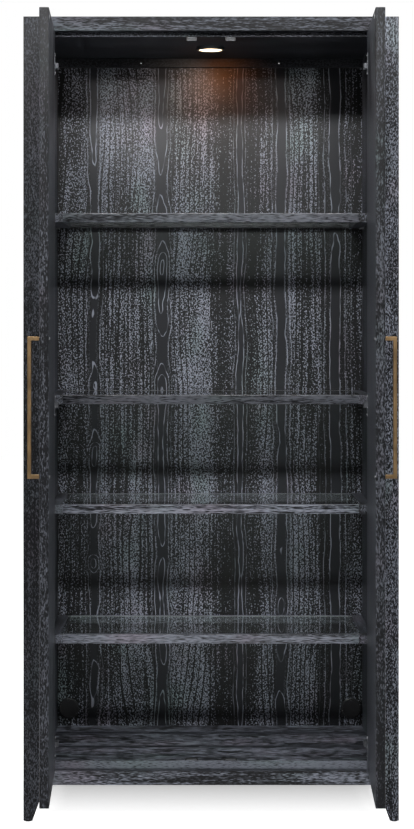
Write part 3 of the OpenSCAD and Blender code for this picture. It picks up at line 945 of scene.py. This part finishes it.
# Main streak, with nested arches
BACK_MAIN = (
    (175, 1.5), (255, 2.0), (290, 2.2), (380, 1.6), (525, 1.9), (610, 1.7), (645, 2.0),
    (660, 2.15), (685, 1.8), (780, 1.5), (840, 1.75), (1070, 1.6), (1120, 0.8), (1150, 1.0),
    (1175, 2.0), (1205, 3.0), (1250, 3.4), (1285, 3.2), (1320, 2.3), (1360, 2.0), (1395, 1.8),
    (1460, 1.1), (1485, 0.8), (1505, 1.0), (1530, 2.0), (1565, 3.0), (1605, 3.1), (1640, 2.5),
    (1680, 3.0), (1720, 3.2), (1765, 3.0), (1800, 2.7), (1865, 2.0), (1975, 1.75), (2090, 1.2),
)

# Narrow streak right of the middle
BACK_NARROW = (
    (175, 1.8), (380, 1.6), (580, 1.9), (610, 2.0), (640, 1.9), (930, 1.75), (1160, 1.6),
    (1395, 1.85), (1540, 1.6), (1860, 1.7), (2090, 1.5),
)

# Right streak, with one ring closed to an oval
BACK_RIGHT = (
    (145, 1.3), (220, 1.5), (255, 2.0), (290, 2.2), (350, 1.9), (450, 1.3), (480, 1.0),
    (500, 0.5), (525, 1.0), (550, 1.3), (695, 1.1), (815, 1.3), (960, 1.6), (1000, 1.9),
    (1045, 1.5), (1250, 1.2), (1305, 1.6), (1395, 1.3), (1590, 1.5), (1800, 1.4), (1915, 1.6),
    (2090, 1.2),
)

# Broad plain band near the right edge
BACK_PLAIN = (
    (175, 0.3), (525, 0.6), (815, 0.3), (1045, 0.5), (1395, 0.4), (1660, 0.9), (1685, 0.5),
    (2090, 0.3),
)

# Each streak's place across the panel in metres, and its half width, ring width and depths
BACK_HEARTS = (
    (-0.337, 11, 8, BACK_LEFT),
    (-0.140, 17, 8, BACK_MAIN),
    (0.087, 9, 7, BACK_NARROW),
    (0.206, 15, 10, BACK_RIGHT),
    (0.363, 16, 16, BACK_PLAIN),
)

@dataclass
class DoorPlace:
    """Where a door stands at rest, and how a point of the closed left door gets there.

    A door point is given by its distance from the opening's side, its distance behind the outer
    face and its height.
    """

    side: int
    opening: float = 442 * MM
    pivot_in: float = 4 * MM
    pivot_back: float = 3.8 * MM
    side_gap: float = 2 * MM
    turn: float = 88.0

    def matrix(self) -> Matrix:
        """Works out where the open door stands.

        Returns:
            The matrix from door places to the cabinet's own frame.
        """
        into = Matrix.Translation((-self.pivot_in, -self.pivot_back, 0))
        swing = Matrix.Rotation(-math.radians(self.turn), 4, "Z")
        pole = (-self.opening + self.side_gap + self.pivot_in, FRONT_Y + self.pivot_back, 0)
        left = Matrix.Translation(pole) @ swing @ into
        return left if self.side < 0 else MIRROR @ left


@dataclass
class Case:
    """The fixed case: posts, rails, panels and boards."""

    ease: float = 1.2 * MM

    def build(self) -> None:
        """Eases and dresses every wooden piece of the case."""
        self.frame_wood()
        self.panels()
        self.back()

    def wood(self, node: str, **cut: Any) -> Piece:
        """Eases one wooden piece and gives it its own cut of oak.

        Args:
            node: The CAD node that it stands for.
            **cut: Fields of its finish.

        Returns:
            The piece.
        """
        finish = CerusedOak(name=f"oak_{node}", **cut)
        return dress(eased(node, self.ease), finish.build(), "oak", "case", node)

    def frame_wood(self) -> None:
        """Dresses the posts and rails."""
        for row, end in enumerate(("front", "rear")):
            for side, x in SIDES:
                self.wood(
                    f"{end}_{side}_post",
                    grain=Grain.UPRIGHT,
                    fleck_width=2.2 * MM,
                    fleck_length=6 * MM,
                    cover=0.40,
                    edge=0.10,
                    # The left posts are limed darker than the right ones: painted shade on the
                    # left, painted light on the right
                    lime=0.55 + 0.33 * x,
                    coat=0.2,
                    seed=3.0 + row + 2 * x,
                )
            # The top rails' low lime is painted shade
            for level, shift, lime, coat in (
                ("top", 2.126, 0.37, 0.12),
                ("bottom", 0.117, 0.72, 0.3),
            ):
                self.wood(
                    f"{end}_{level}_rail",
                    grain=Grain.ACROSS,
                    fleck_width=1.6 * MM,
                    fleck_length=16 * MM,
                    cover=0.42,
                    edge=0.14,
                    lime=lime,
                    coat=coat,
                    seed=14.0 + row + shift,
                )
        for side, x in SIDES:
            self.wood(
                f"{side}_side_rails", grain=Grain.INWARD_SIDE, cover=0.40, lime=0.6, seed=21.0 + x
            )

    def panels(self) -> None:
        """Dresses the side panels, the boards, the floor board's lipping and the cleat."""
        for side, x in SIDES:
            for layer in ("outer", "inner"):
                self.wood(
                    f"{side}_{layer}_panel",
                    grain=Grain.UPRIGHT_SIDE,
                    hearts=(Heart(0.10), Heart(0.29, half=14 * MM)),
                    cover=0.42,
                    lime=0.8,
                    seed=31.0 + x,
                )
        boards = {}
        # The ceiling board's low lime is painted shade under the top
        for node, y, lime, coat, width, length in (
            ("floor_board", 0.16, 0.92, 0.3, 3.8 * MM, 28 * MM),
            ("ceiling_board", 0.25, 0.30, 0.1, 2.6 * MM, 5 * MM),
            ("top_panel", 0.20, 0.60, 0.3, 2.6 * MM, 5 * MM),
        ):
            boards[node] = self.wood(
                node,
                coat=coat,
                grain=Grain.ACROSS_FLAT,
                hearts=(Heart(y), Heart(y + 0.19)),
                start=-0.5,
                span=1.0,
                fleck_width=width,
                fleck_length=length,
                cover=0.42,
                lime=lime,
                seed=41.0 + y,
            )
        lipping = CerusedOak(
            name="oak_front_lipping",
            grain=Grain.ACROSS,
            fleck_width=1.6 * MM,
            fleck_length=14 * MM,
            cover=0.55,
            edge=0.14,
            lime=0.50,
            seed=55.0,
        )
        add_second(boards["floor_board"], lipping.build(), lambda face: face.normal.y < -FACING)
        # The cleat's low lime is painted shade under the ceiling
        self.wood("back_cleat", grain=Grain.ACROSS, lime=0.12, seed=51.0)

    def back(self) -> None:
        """Dresses the back panel, whose broad veneer shows five hearts of the trunk."""
        hearts = []
        for x, half, ring, bends in BACK_HEARTS:
            shares = tuple((z * MM / CerusedOak.span, depth) for z, depth in bends)
            hearts.append(Heart(x, half * MM, ring * MM, shares))
        self.wood(
            "back_panel",
            grain=Grain.UPRIGHT,
            hearts=tuple(hearts),
            fleck_width=3.4 * MM,
            fleck_length=5.0 * MM,
            cover=0.43,
            edge=0.03,
            lime=0.92,
            stain=("060709", "17191e"),
            seed=7.0,
            ring_gap=17 * MM,
            # The two places near the sides, where lime is scarce, are painted shade that the doors
            # and side panels cast
            thin=((0.080, 0.065, 0.10), (-0.43, 0.09, 0.035), (0.41, 0.09, 0.06)),
        )


@dataclass
class Shelves:
    """Four shelves, each a frame of four rails round a pane of glass.

    Levels gives each shelf's name, and the lime of its front and rear rail. These limes are painted
    light and shade: the upper two shelves are limed darker, their rear rails darkest, in shade, and
    the lower two paler, their rear rails near white, where they catch the light.
    """

    ease: float = 1.6 * MM
    pane_ease: float = 1.0 * MM
    levels: tuple[tuple[str, float, float], ...] = (
        ("top", 0.36, 0.08),
        ("upper", 0.25, 0.12),
        ("lower", 0.80, 0.95),
        ("bottom", 0.74, 0.95),
    )
    middle_y: float = 0.25

    def build(self) -> None:
        """Eases and dresses the rails and panes."""
        glass = FloatGlass().build()
        ground = Moulded("ground_glass_edge", ("e6f2ea", "f3f8f4"), 0.55, 0.4 * MM, 0.3).build()
        for number, (level, lime, rear_lime_painted_light) in enumerate(self.levels):
            across = CerusedOak(
                name=f"oak_{level}_cross_rails",
                grain=Grain.ACROSS,
                fleck_width=1.6 * MM,
                fleck_length=22 * MM,
                cover=0.50,
                edge=0.18,
                lime=lime,
                seed=61.0 + number,
                coat=0.5,
                roughness=(0.22, 0.36),
            )
            # The rear rails take their own lime: painted light and shade
            rear = replace(
                across, name=f"oak_{level}_rear_rail", lime=rear_lime_painted_light, seed=65.0 + number
            )
            inward = CerusedOak(
                name=f"oak_{level}_side_rails",
                grain=Grain.INWARD,
                fleck_width=1.8 * MM,
                fleck_length=8 * MM,
                cover=0.44,
                edge=0.10,
                lime=0.6,
                seed=71.0 + number,
            )
            node = f"{level}_shelf_cross_rails"
            rails = dress(eased(node, self.ease), across.build(), "oak", "case", node)
            add_second(rails, rear.build(), lambda face: face.center.y > self.middle_y)
            node = f"{level}_shelf_side_rails"
            dress(eased(node, self.ease), inward.build(), "oak", "case", node)
            node = f"{level}_shelf_glass"
            pane = eased(node, self.pane_ease, shortest=5 * MM)
            dress(pane, glass, "clear_glass", "case", node)
            add_second(pane, ground, lambda face: abs(face.normal.z) < FACING)


@dataclass
class Pull:
    """A long C-shaped pull: a square brass bar with a leg turned in at each end."""

    place: DoorPlace
    mid_w: float = 418.5 * MM
    bar: float = 10 * MM
    reach: float = 30 * MM
    low: float = 946.5 * MM
    length: float = 350 * MM
    ease: float = 1.3 * MM

    def build(self, name: str, brass: Material, body: str, node: str) -> None:
        """Extrudes the bar upwards and its legs back to the door, and rounds the edges.

        Args:
            name: The new piece's name.
            brass: Its material.
            body: The door that it moves with.
            node: The CAD node that it stands for.
        """
        half = self.bar / 2
        outer = -self.reach
        piece = add_block(
            name,
            (self.mid_w - half, outer, self.low),
            (self.mid_w + half, outer + self.bar, self.low + self.bar),
        )
        select(piece, Element.FACE, lambda face: face.normal.z > FACING)
        extrude_faces((0, 0, self.length - 2 * self.bar))
        extrude_faces((0, 0, self.bar))
        ends = (self.low + half, self.low + self.length - half)
        select(
            piece,
            Element.FACE,
            lambda face: face.normal.y > FACING
            and min(abs(face.calc_center_median().z - end) for end in ends) < MM,
        )
        extrude_faces((0, self.reach - self.bar, 0))
        round_edges(
            piece, self.ease, 3, 1, lambda edge: not all(abs(v.co.y) < MM for v in edge.verts)
        )
        smooth(piece)
        move_mesh(piece, self.place.matrix())
        dress(piece, brass, "aged_brass", body, node)


@dataclass
class Doors:
    """Two plain leaves with their pulls."""

    ease: float = 1.5 * MM

    def build(self, brass: Material) -> None:
        """Eases and dresses the leaves, and makes the pulls.

        Args:
            brass: The pulls' material.
        """
        for side, sign in SIDES:
            node = f"{side}_door"
            oak = CerusedOak(
                name=f"oak_{node}",
                grain=Grain.UPRIGHT_SIDE,
                hearts=(Heart(-0.36), Heart(-0.17, half=14 * MM)),
                fleck_width=2.4 * MM,
                fleck_length=6 * MM,
                cover=0.44,
                edge=0.08,
                lime=0.42,
                seed=81.0 + sign,
                coat=0.7,
                roughness=(0.30, 0.44),
            )
            # The edges take their own grain, limed darker than the faces: the darker lime is
            # painted shade
            band = CerusedOak(
                name=f"oak_{side}_edge_band",
                grain=Grain.UPRIGHT,
                fleck_width=2.4 * MM,
                fleck_length=8 * MM,
                cover=0.40,
                edge=0.10,
                lime=0.22,
                seed=91.0 + sign,
                coat=0.2,
            )
            leaf = dress(eased(node, self.ease), oak.build(), "oak", node, node)
            broad = DoorPlace(sign).matrix().to_3x3() @ Vector((0, 1, 0))
            add_second(leaf, band.build(), lambda face: abs(face.normal.dot(broad)) <= FACING)
            Pull(DoorPlace(sign)).build(f"{side}_pull_bar", brass, node, f"{side}_pull")


@dataclass
class Screw:
    """A steel screw with a domed head and a cross recess.

    It stands along Z, with the seat of its head at 0.
    """

    head: float
    height: float
    shaft: float
    length: float

    def model(self, name: str) -> Piece:
        """Spins the screw and cuts the cross into its head.

        Args:
            name: The screw's name.

        Returns:
            The screw, at the origin.
        """
        dome = ((0, 1), (0.55, 0.97), (0.82, 0.80), (0.96, 0.48), (1, 0.12), (1, 0))
        shaft, tip = self.shaft, -self.length
        head = tuple((self.head * r, self.height * z) for r, z in dome)
        rest = ((shaft, 0), (shaft, tip + shaft * 0.5), (shaft * 0.5, tip), (0, tip))
        piece = spin_profile(name, head + rest, steps=32)
        self.cut_cross(piece)
        return piece

    def cut_cross(self, piece: Piece) -> None:
        """Cuts two crossed slots, narrower at the bottom, into the head.

        Args:
            piece: The screw.
        """
        long, wide = self.head * 0.62, self.head * 0.15
        low, high = self.height * 0.30, self.height * 1.5
        slots = []
        for x, y in ((long, wide), (wide, long)):
            slot = add_block("slot", (-x, -y, low), (x, y, high))
            select(slot, Element.FACE, lambda face: face.normal.z < -FACING)
            bpy.ops.transform.resize(value=(0.6, 0.6, 1))
            set_mode("OBJECT")
            slots.append(slot)
        for slot in slots:
            cut_away(piece, slot)
        smooth(piece, 30)

    def drive(
        self, name: str, matrices: list[Matrix], material: Material, body: str, node: str
    ) -> None:
        """Puts a screw at every place and dresses them as one piece.

        Args:
            name: The new piece's name.
            matrices: Where each screw goes.
            material: The screws' material.
            body: The body that they move with.
            node: The CAD node that they stand for.
        """
        screws = place_copies(self.model(f"{name}_model"), name, matrices)
        dress(screws, material, "nickel", body, node)


@dataclass
class Hinges:
    """Six concealed cup hinges: cups and links on the doors, arms and plates on the case."""

    levels: tuple[float, ...] = (205 * MM, 1110 * MM, 2015 * MM)
    wall: float = 442 * MM
    plate_y: float = 61 * MM
    plate_screw_z: float = 16 * MM
    plate_t: float = 2 * MM
    clamp_y: float = 85 * MM
    arm_high: float = 20 * MM
    cup_screw_w: float = 32 * MM
    cup_screw_z: float = 24 * MM
    flange: float = 25.2 * MM
    ease: float = 0.45 * MM
    cup_ease: float = 0.25 * MM

    def build(self, steel: Material) -> None:
        """Eases the pressed parts and drives all screws.

        Args:
            steel: The material of plates and screws.
        """
        # A darker, rougher copy of the nickel for arms, cups and links: its dark colour is painted
        # shade that keeps the lamps' highlights on them down
        dull_painted_shade = Metal("dull_nickel", ("55575b", "65676b"), (0.44, 0.58), 0.03, 0.3 * MM).build()
        for node, metal in (("hinge_arms", dull_painted_shade), ("hinge_plates", steel)):
            dress(eased(node, self.ease, shortest=3 * MM), metal, "nickel", "case", node)
        for side, _ in SIDES:
            for part, body in (("hinge_cups", "door"), ("hinge_links", "links")):
                node = f"{side}_{part}"
                piece = eased(node, self.cup_ease, shortest=5 * MM)
                dress(piece, dull_painted_shade, "nickel", f"{side}_{body}", node)
        self.screws(steel)

    def screws(self, steel: Material) -> None:
        """Drives the plate and clamp screws into the case and the cup screws into the doors.

        Args:
            steel: The screws' material.
        """
        pairs = [z + s * self.plate_screw_z for z in self.levels for s in (-1, 1)]
        plate = Screw(3.5 * MM, 1.5 * MM, 2 * MM, 16 * MM)
        clamp = Screw(4.5 * MM, 1.5 * MM, 2.5 * MM, 12 * MM)
        for name, screw, x, y, heights in (
            ("plate", plate, self.plate_t, self.plate_y, pairs),
            ("clamp", clamp, self.arm_high, self.clamp_y, self.levels),
        ):
            left = [
                Matrix.Translation((-self.wall + x, FRONT_Y + y, z)) @ ALONG_X for z in heights
            ]
            both = left + [MIRROR @ m for m in left]
            screw.drive(f"{name}_screws", both, steel, "case", "hinge_screws")
        for side, sign in SIDES:
            door = DoorPlace(sign).matrix()
            spots = [
                door @ Matrix.Translation((self.cup_screw_w, self.flange, z + step)) @ ALONG_Y
                for z in self.levels
                for step in (-self.cup_screw_z, self.cup_screw_z)
            ]
            Screw(3.5 * MM, 1.5 * MM, 2 * MM, 12 * MM).drive(
                f"{side}_flange_screws", spots, steel, f"{side}_door", f"{side}_cup_screws"
            )


@dataclass
class CeilingLight:
    """The round light: a turned rim with a slightly domed opal lens."""

    centre: tuple[float, float] = (0.0, 190.284 * MM)
    low: float = 2085 * MM
    radius: float = 39 * MM
    height: float = 9 * MM
    rim: float = 6 * MM
    lens: float = 32.9 * MM
    cord_hole: float = 5 * MM

    def build(self, rim: Material, lens: Material) -> None:
        """Spins the rim and the lens and puts them under the ceiling.

        Args:
            rim: The rim's material.
            lens: The lens's material.
        """
        outer, inner, top = self.radius, self.radius - self.rim, self.height
        lip = inner - 1.5 * MM
        ring = (
            (lip, 0.2 * MM),
            (inner + 0.3 * MM, 0),
            (outer - 2.2 * MM, 0),
            (outer - 0.9 * MM, 0.35 * MM),
            (outer - 0.2 * MM, 1.1 * MM),
            (outer, 2.3 * MM),
            (outer, top),
            (self.cord_hole, top),
            (self.cord_hole, top - 2 * MM),
            (inner, top - 2 * MM),
            (inner, 1 * MM),
            (lip, 1 * MM),
        )
        shares = ((0, 0.1), (0.4, 0.25), (0.8, 0.7), (0.94, 1.0), (1, 1.05), (1, 3.9), (0, 3.9))
        dome = tuple((self.lens * share, z * MM) for share, z in shares)
        for name, points, closed, material, slot, node in (
            ("light_rim", ring, True, rim, "nickel", "light_housing"),
            ("light_dome", dome, False, lens, "lens", "light_lens"),
        ):
            piece = spin_profile(name, points, steps=96, closed=closed)
            move_mesh(piece, Matrix.Translation((*self.centre, self.low)))
            dress(piece, material, slot, "case", node)


@dataclass
class Grommets:
    """Two cord grommets: a rounded rim and sleeve, closed by a dished cap with a finger notch."""

    side: float = 410 * MM
    height: float = 208 * MM
    face: float = 497 * MM
    rim: float = 30 * MM
    pipe: float = 28 * MM
    wall: float = 2 * MM
    lip: float = 2.5 * MM
    board: float = 12 * MM
    cap: float = 25.9 * MM
    notch: float = 4 * MM

    def build(self, plastic: Material) -> None:
        """Spins both pieces, cuts the notch and places one pair on each side.

        Args:
            plastic: Their material.
        """
        inner, outer, lip = self.pipe - self.wall, self.pipe, self.lip
        sleeve_points = (
            (inner, -self.board),
            (inner, lip - 0.7 * MM),
            (inner + 0.5 * MM, lip - 0.1 * MM),
            (outer - 0.4 * MM, lip),
            (self.rim - 1.2 * MM, lip - 0.5 * MM),
            (self.rim - 0.3 * MM, lip - 1.3 * MM),
            (self.rim, 0),
            (outer, 0),
            (outer, -self.board),
        )
        cap_points = (
            (0, lip - 1.0 * MM),
            (self.cap * 0.70, lip - 1.0 * MM),
            (self.cap * 0.78, lip - 0.7 * MM),
            (self.cap - 0.6 * MM, lip - 0.6 * MM),
            (self.cap, lip - 1.1 * MM),
            (self.cap, lip - 3.6 * MM),
            (0, lip - 3.6 * MM),
        )
        sleeve = spin_profile("sleeve", sleeve_points, steps=72, closed=True)
        cap = spin_profile("cap", cap_points, steps=72)
        self.cut_notch(cap)
        spots = [
            Matrix.Translation((x, FRONT_Y + self.face, self.height)) @ ALONG_Y.inverted()
            for x in (-self.side, self.side)
        ]
        for model, name, node in (
            (sleeve, "grommet_sleeves", "cord_grommets"),
            (cap, "notched_caps", "grommet_caps"),
        ):
            dress(place_copies(model, name, spots), plastic, "black_plastic", "case", node)

    def cut_notch(self, cap: Piece) -> None:
        """Cuts the finger notch, which has a floor, into the cap's upper edge.

        Args:
            cap: The cap.
        """
        depth, floor = 20 * MM, self.lip - 2.4 * MM
        pick()
        bpy.ops.mesh.primitive_cylinder_add(
            radius=self.notch,
            depth=depth,
            vertices=32,
            location=(0, self.cap + 0.1 * MM, floor + depth / 2),
        )
        cutter = bpy.context.object
        settle(cutter)
        cut_away(cap, cutter)
        smooth(cap, 30)


@dataclass
class Catch:
    """A magnetic catch: a moulded body with two steel pole plates that stand a little proud."""

    size: Place
    low: float
    taper: float
    poles: tuple[float, float]
    plate: float
    front: float = 26 * MM
    apart: float = 52 * MM
    rounding: float = 0.6 * MM
    lip: float = 0.8 * MM
    mouth: float = 1.2 * MM
    proud: float = 0.4 * MM
    pole_share: float = 0.37

    def body(self, name: str, side: int) -> Piece:
        """Extrudes the body, hollows its mouth and rounds its edges.

        Args:
            name: The piece's name.
            side: -1 for the left catch, 1 for the right one.

        Returns:
            The body.
        """
        width, depth, height = self.size
        x, y = side * self.apart, FRONT_Y + self.front
        piece = add_block(
            name, (x - width / 2, y, self.low), (x + width / 2, y + depth, self.low + height)
        )
        select(piece, Element.FACE, lambda face: face.normal.z > FACING)
        bpy.ops.transform.resize(value=(self.taper, 1, 1), center_override=(x, y, self.low))
        round_edges(piece, self.rounding, 2)
        least = width * height * 0.3
        select(
            piece, Element.FACE, lambda face: face.normal.y < -0.99 and face.calc_area() > least
        )
        bpy.ops.mesh.inset(thickness=self.lip)
        extrude_faces((0, self.mouth, 0))
        set_mode("OBJECT")
        smooth(piece)
        return piece

    def pole(self, name: str, side: int, level: float) -> Piece:
        """Makes one pole plate, from the mouth's bottom to just behind the strike plate.

        Args:
            name: The piece's name.
            side: -1 for the left catch, 1 for the right one.
            level: The plate's height over the catch's lowest point.

        Returns:
            The pole plate.
        """
        half = self.size[0] * self.pole_share
        x, y, z = side * self.apart, FRONT_Y + self.front, self.low + level
        piece = add_block(
            name,
            (x - half, y - self.proud, z - self.plate / 2),
            (x + half, y + 1.3 * MM, z + self.plate / 2),
        )
        round_edges(piece, 0.15 * MM, 1)
        return piece


@dataclass
class Fittings:
    """Catches, strike plates, shelf pins, glides and the screws of pulls and back."""

    ease: float = 0.3 * MM
    half_width: float = 500 * MM
    depth: float = 520 * MM
    toe: float = 12 * MM
    pull_w: float = 418.5 * MM
    pull_levels: tuple[float, float] = (951.5 * MM, 1291.5 * MM)
    door_t: float = 24 * MM
    back: float = 509 * MM

    def build(self, steel: Material, plastic: Material, pole_steel_painted_shade: Material) -> None:
        """Makes and dresses the small fittings.

        Args:
            steel: The material of plates, pins and screws.
            plastic: The material of the glides.
            pole_steel_painted_shade: The material of the pole plates.
        """
        black = Moulded("catch_plastic", ("0b0b0c", "111113"), 0.5, 0.5 * MM, 0.3).build()
        self.catches(black, pole_steel_painted_shade)
        for side, _ in SIDES:
            node = f"{side}_strike_plates"
            dress(eased(node, self.ease, shortest=3 * MM), steel, "nickel", f"{side}_door", node)
        pins = eased("shelf_pins", self.ease, shortest=5 * MM)
        dress(pins, steel, "nickel", "case", "shelf_pins")
        self.glides(plastic)
        self.screws(steel)

    def catches(self, plastic: Material, pole_steel_painted_shade: Material) -> None:
        """Builds two catches under the ceiling and two on the floor board.

        Args:
            plastic: The bodies' material.
            pole_steel_painted_shade: The pole plates' material.
        """
        pairs = (
            Catch((27 * MM, 14 * MM, 11 * MM), 2083 * MM, 1.0, (2.6 * MM, 8.4 * MM), 1.1 * MM),
            Catch((37 * MM, 12 * MM, 5 * MM), 158 * MM, 0.84, (1.4 * MM, 3.6 * MM), 1.2 * MM),
        )
        bodies, poles = [], []
        for pair in pairs:
            for side in (-1, 1):
                bodies.append(pair.body("body", side))
                poles += [pair.pole("pole", side, level) for level in pair.poles]
        dress(join("catch_bodies", bodies), plastic, "black_plastic", "case", "magnet_catches")
        dress(join("catch_poles", poles), pole_steel_painted_shade, "nickel", "case", "magnet_catches")

    def glides(self, plastic: Material) -> None:
        """Spins a nailed glide with a rounded sole and puts one under each foot.

        Args:
            plastic: Their material.
        """
        profile = ((0, 0), (6.5, 0), (8.2, 0.4), (9, 1.3), (9, 3), (1, 3), (1, 16), (0, 17))
        glide = spin_profile("glide", tuple((r * MM, z * MM) for r, z in profile), steps=48)
        spots = [
            Matrix.Translation((side * (self.half_width - self.toe), FRONT_Y + y, 0))
            for side in (-1, 1)
            for y in (self.toe, self.depth - self.toe)
        ]
        glides = place_copies(glide, "nailed_glides", spots)
        dress(glides, plastic, "black_plastic", "case", "foot_glides")

    def screws(self, steel: Material) -> None:
        """Drives the screws of the pulls and of the back panel.

        Args:
            steel: Their material.
        """
        for side, sign in SIDES:
            door = DoorPlace(sign).matrix()
            spots = [
                door @ Matrix.Translation((self.pull_w, self.door_t, z)) @ ALONG_Y
                for z in self.pull_levels
            ]
            Screw(4.5 * MM, 2.4 * MM, 2 * MM, 33 * MM).drive(
                f"{side}_handle_screws", spots, steel, f"{side}_door", f"{side}_pull_screws"
            )
        for name, places, z, length in (
            ("low", [i * 176.8 for i in range(-2, 3)], 147 * MM, 34 * MM),
            ("high", (-260, -140, 140, 260), 2081 * MM, 21 * MM),
        ):
            spots = [Matrix.Translation((x * MM, FRONT_Y + self.back, z)) @ ALONG_Y for x in places]
            Screw(3.5 * MM, 1.5 * MM, 2 * MM, length).drive(
                f"{name}_back_screws", spots, steel, "case", "back_screws"
            )


@dataclass(frozen=True)
class Lamp:
    """A soft studio lamp: round, or an ellipse where its height is given."""

    name: str
    place: Place
    aim: Place
    power: float
    width: float
    height: float | None = None

    def data(self) -> bpy.types.Light:
        """Makes the lamp's data.

        Returns:
            The data.
        """
        light = bpy.data.lights.new(self.name, "AREA")
        light.shape = "ELLIPSE" if self.height else "DISK"
        light.size = self.width
        if self.height:
            light.size_y = self.height
        light.energy = self.power
        return light


@dataclass(frozen=True)
class Beam:
    """A narrow soft lamp that reaches into the upper bay, or a part of the ceiling light's cone."""

    name: str
    place: Place
    aim: Place
    power: float
    spread: float
    size: float = 0.15
    colour: str = "ffffff"

    def data(self) -> bpy.types.Light:
        """Makes the lamp's data.

        Returns:
            The data.
        """
        light = bpy.data.lights.new(self.name, "SPOT")
        light.energy = self.power
        light.color = linear(self.colour)[:3]
        light.spot_size = math.radians(self.spread)
        light.spot_blend = 1.0
        light.shadow_soft_size = self.size
        return light


@dataclass
class Studio:
    """A plain pale floor and soft studio light, with the camera at the photograph's place.

    Fill and gloss are the strengths of the surroundings in diffuse light and in reflections.
    """

    eye: Place = (-0.035, FRONT_Y - 5.459, 1.342)
    lens: float = 89.03
    shift: tuple[float, float] = (9 / 829, -96.5 / 829)
    lamps: tuple[Lamp | Beam, ...] = (
        Lamp("key", (-0.08, FRONT_Y - 3.75, 3.52), (0, 0, 1.1), 215.0, 3.2, 0.36),
        Lamp("side_-1", (-3.3, -3.2, 3.5), (-0.4, 0, 1.5), 60.0, 0.9),
        Lamp("rear_-1", (-2.6, 3.4, 5.0), (0, 0.4, 1.1), 130.0, 1.2),
        Lamp("side_1", (3.3, -3.2, 3.5), (0.4, 0, 1.5), 30.0, 0.9),
        Lamp("rear_1", (2.6, 3.4, 5.0), (0, 0.4, 1.1), 130.0, 1.2),
        Beam("beam_left", (-0.45, -3.6, 2.44), (-0.26, 0.45, 1.905), 460.0, 2.5),
        Beam("beam_middle", (-0.45, -3.6, 2.44), (-0.12, 0.45, 1.905), 500.0, 2.5),
        Beam("beam_right", (0.45, -3.6, 2.44), (0.17, 0.45, 1.93), 190.0, 3.2),
        Beam("ceiling_warm", (0.02, 0.19, 2.07), (0.045, 0.45, 1.95), 1.5, 80.0, 0.008, "ff9a55"),
        Beam("ceiling_pale", (-0.02, 0.19, 2.07), (-0.10, 0.45, 1.96), 1.4, 74.0, 0.008, "ffe4d0"),
        Beam("ceiling_left", (-0.03, 0.19, 2.07), (-0.42, 0.45, 1.92), 2.6, 44.0, 0.008, "fff0e6"),
        Beam("ceiling_right", (0.03, 0.19, 2.07), (0.36, 0.45, 1.91), 1.6, 48.0, 0.008, "fff0e6"),
    )
    fill: float = 0.02
    gloss: float = 0.10
    floor_size: float = 28.0

    def build(self) -> None:
        """Makes the camera, the lamps, the surroundings and the floor."""
        bpy.context.scene.view_settings.view_transform = "Standard"
        self.camera()
        for lamp in self.lamps:
            item = add_object(lamp.name, lamp.data())
            item.location = lamp.place
            way = Vector(lamp.aim) - Vector(lamp.place)
            item.rotation_euler = way.to_track_quat("-Z", "Y").to_euler()
        self.surroundings()
        pick()
        bpy.ops.mesh.primitive_plane_add(size=self.floor_size, location=(0, 0, 0))
        floor = bpy.context.object
        floor.name = "studio_floor"
        floor.data.materials.append(StudioFloor().build())

    def camera(self) -> None:
        """Places a level camera whose shift gives the photograph's framing."""
        data = bpy.data.cameras.new("camera")
        data.sensor_width = 36.0
        data.lens = self.lens
        data.shift_x, data.shift_y = self.shift
        data.clip_end = 200.0
        item = add_object("camera", data)
        item.location = self.eye
        item.rotation_euler = (math.pi / 2, 0, 0)
        bpy.context.scene.camera = item

    def surroundings(self) -> None:
        """Shows white where the camera looks past the object, and lights it with a pale grey."""
        world = bpy.data.worlds.new("studio")
        bpy.context.scene.world = world
        world.use_nodes = True
        world.node_tree.nodes.clear()
        add = partial(add_node, world.node_tree)
        rays = add("LightPath").outputs
        seen = add("Math", (rays["Is Camera Ray"], rays["Is Transmission Ray"]), **GREATER)
        unseen = add("MapRange", (rays["Is Glossy Ray"], 0.0, 1.0, self.fill, self.gloss))
        strength = add("Math", (seen, unseen), **GREATER)
        white = add("Background", {"Color": linear("ffffff"), "Strength": strength})
        add("OutputWorld", {"Surface": white})


def main() -> None:
    """Builds every part of the scene."""
    logging.basicConfig(level=logging.INFO, format="%(name)s: %(message)s")
    Studio().build()
    brass = Metal("aged_brass", ("947a59", "735f46"), (0.32, 0.48), 0.05, 0.4 * MM).build()
    nickel = Metal("nickel_steel", ("94969a", "a8aaad"), (0.30, 0.42), 0.03, 0.3 * MM).build()
    plastic = Moulded("moulded_plastic", ("17171a", "202024"), 0.34, 0.5 * MM, 0.3).build()
    beech = Moulded("turned_beech", ("b98d5e", "a5794b"), 0.7, 0.8 * MM, 0.3).build()
    lacquer = Moulded("board_lacquer", ("e9ece6", "dfe4dc"), 0.35, 0.6 * MM, 0.2).build()
    # The pole plates' steel is darkened: painted shade that keeps the lamps' highlights on them
    # down
    pole_steel_painted_shade = Metal("zinc_plated_steel", ("66686c", "76787c"), (0.42, 0.56), 0.03, 0.3 * MM).build()
    lens = FrostedLens(centre=CeilingLight.centre).build()
    Case().build()
    Shelves().build()
    Doors().build(brass)
    Hinges().build(nickel)
    CeilingLight().build(nickel, lens)
    Grommets().build(plastic)
    Fittings().build(nickel, plastic, pole_steel_painted_shade)
    kept = {"rail_dowels": beech, "light_board": lacquer}
    for side, _ in SIDES:
        kept[f"{side}_hinge_pins"] = nickel
    for node, material in kept.items():
        finish_node(node, material)


if __name__ == "__main__":
    main()
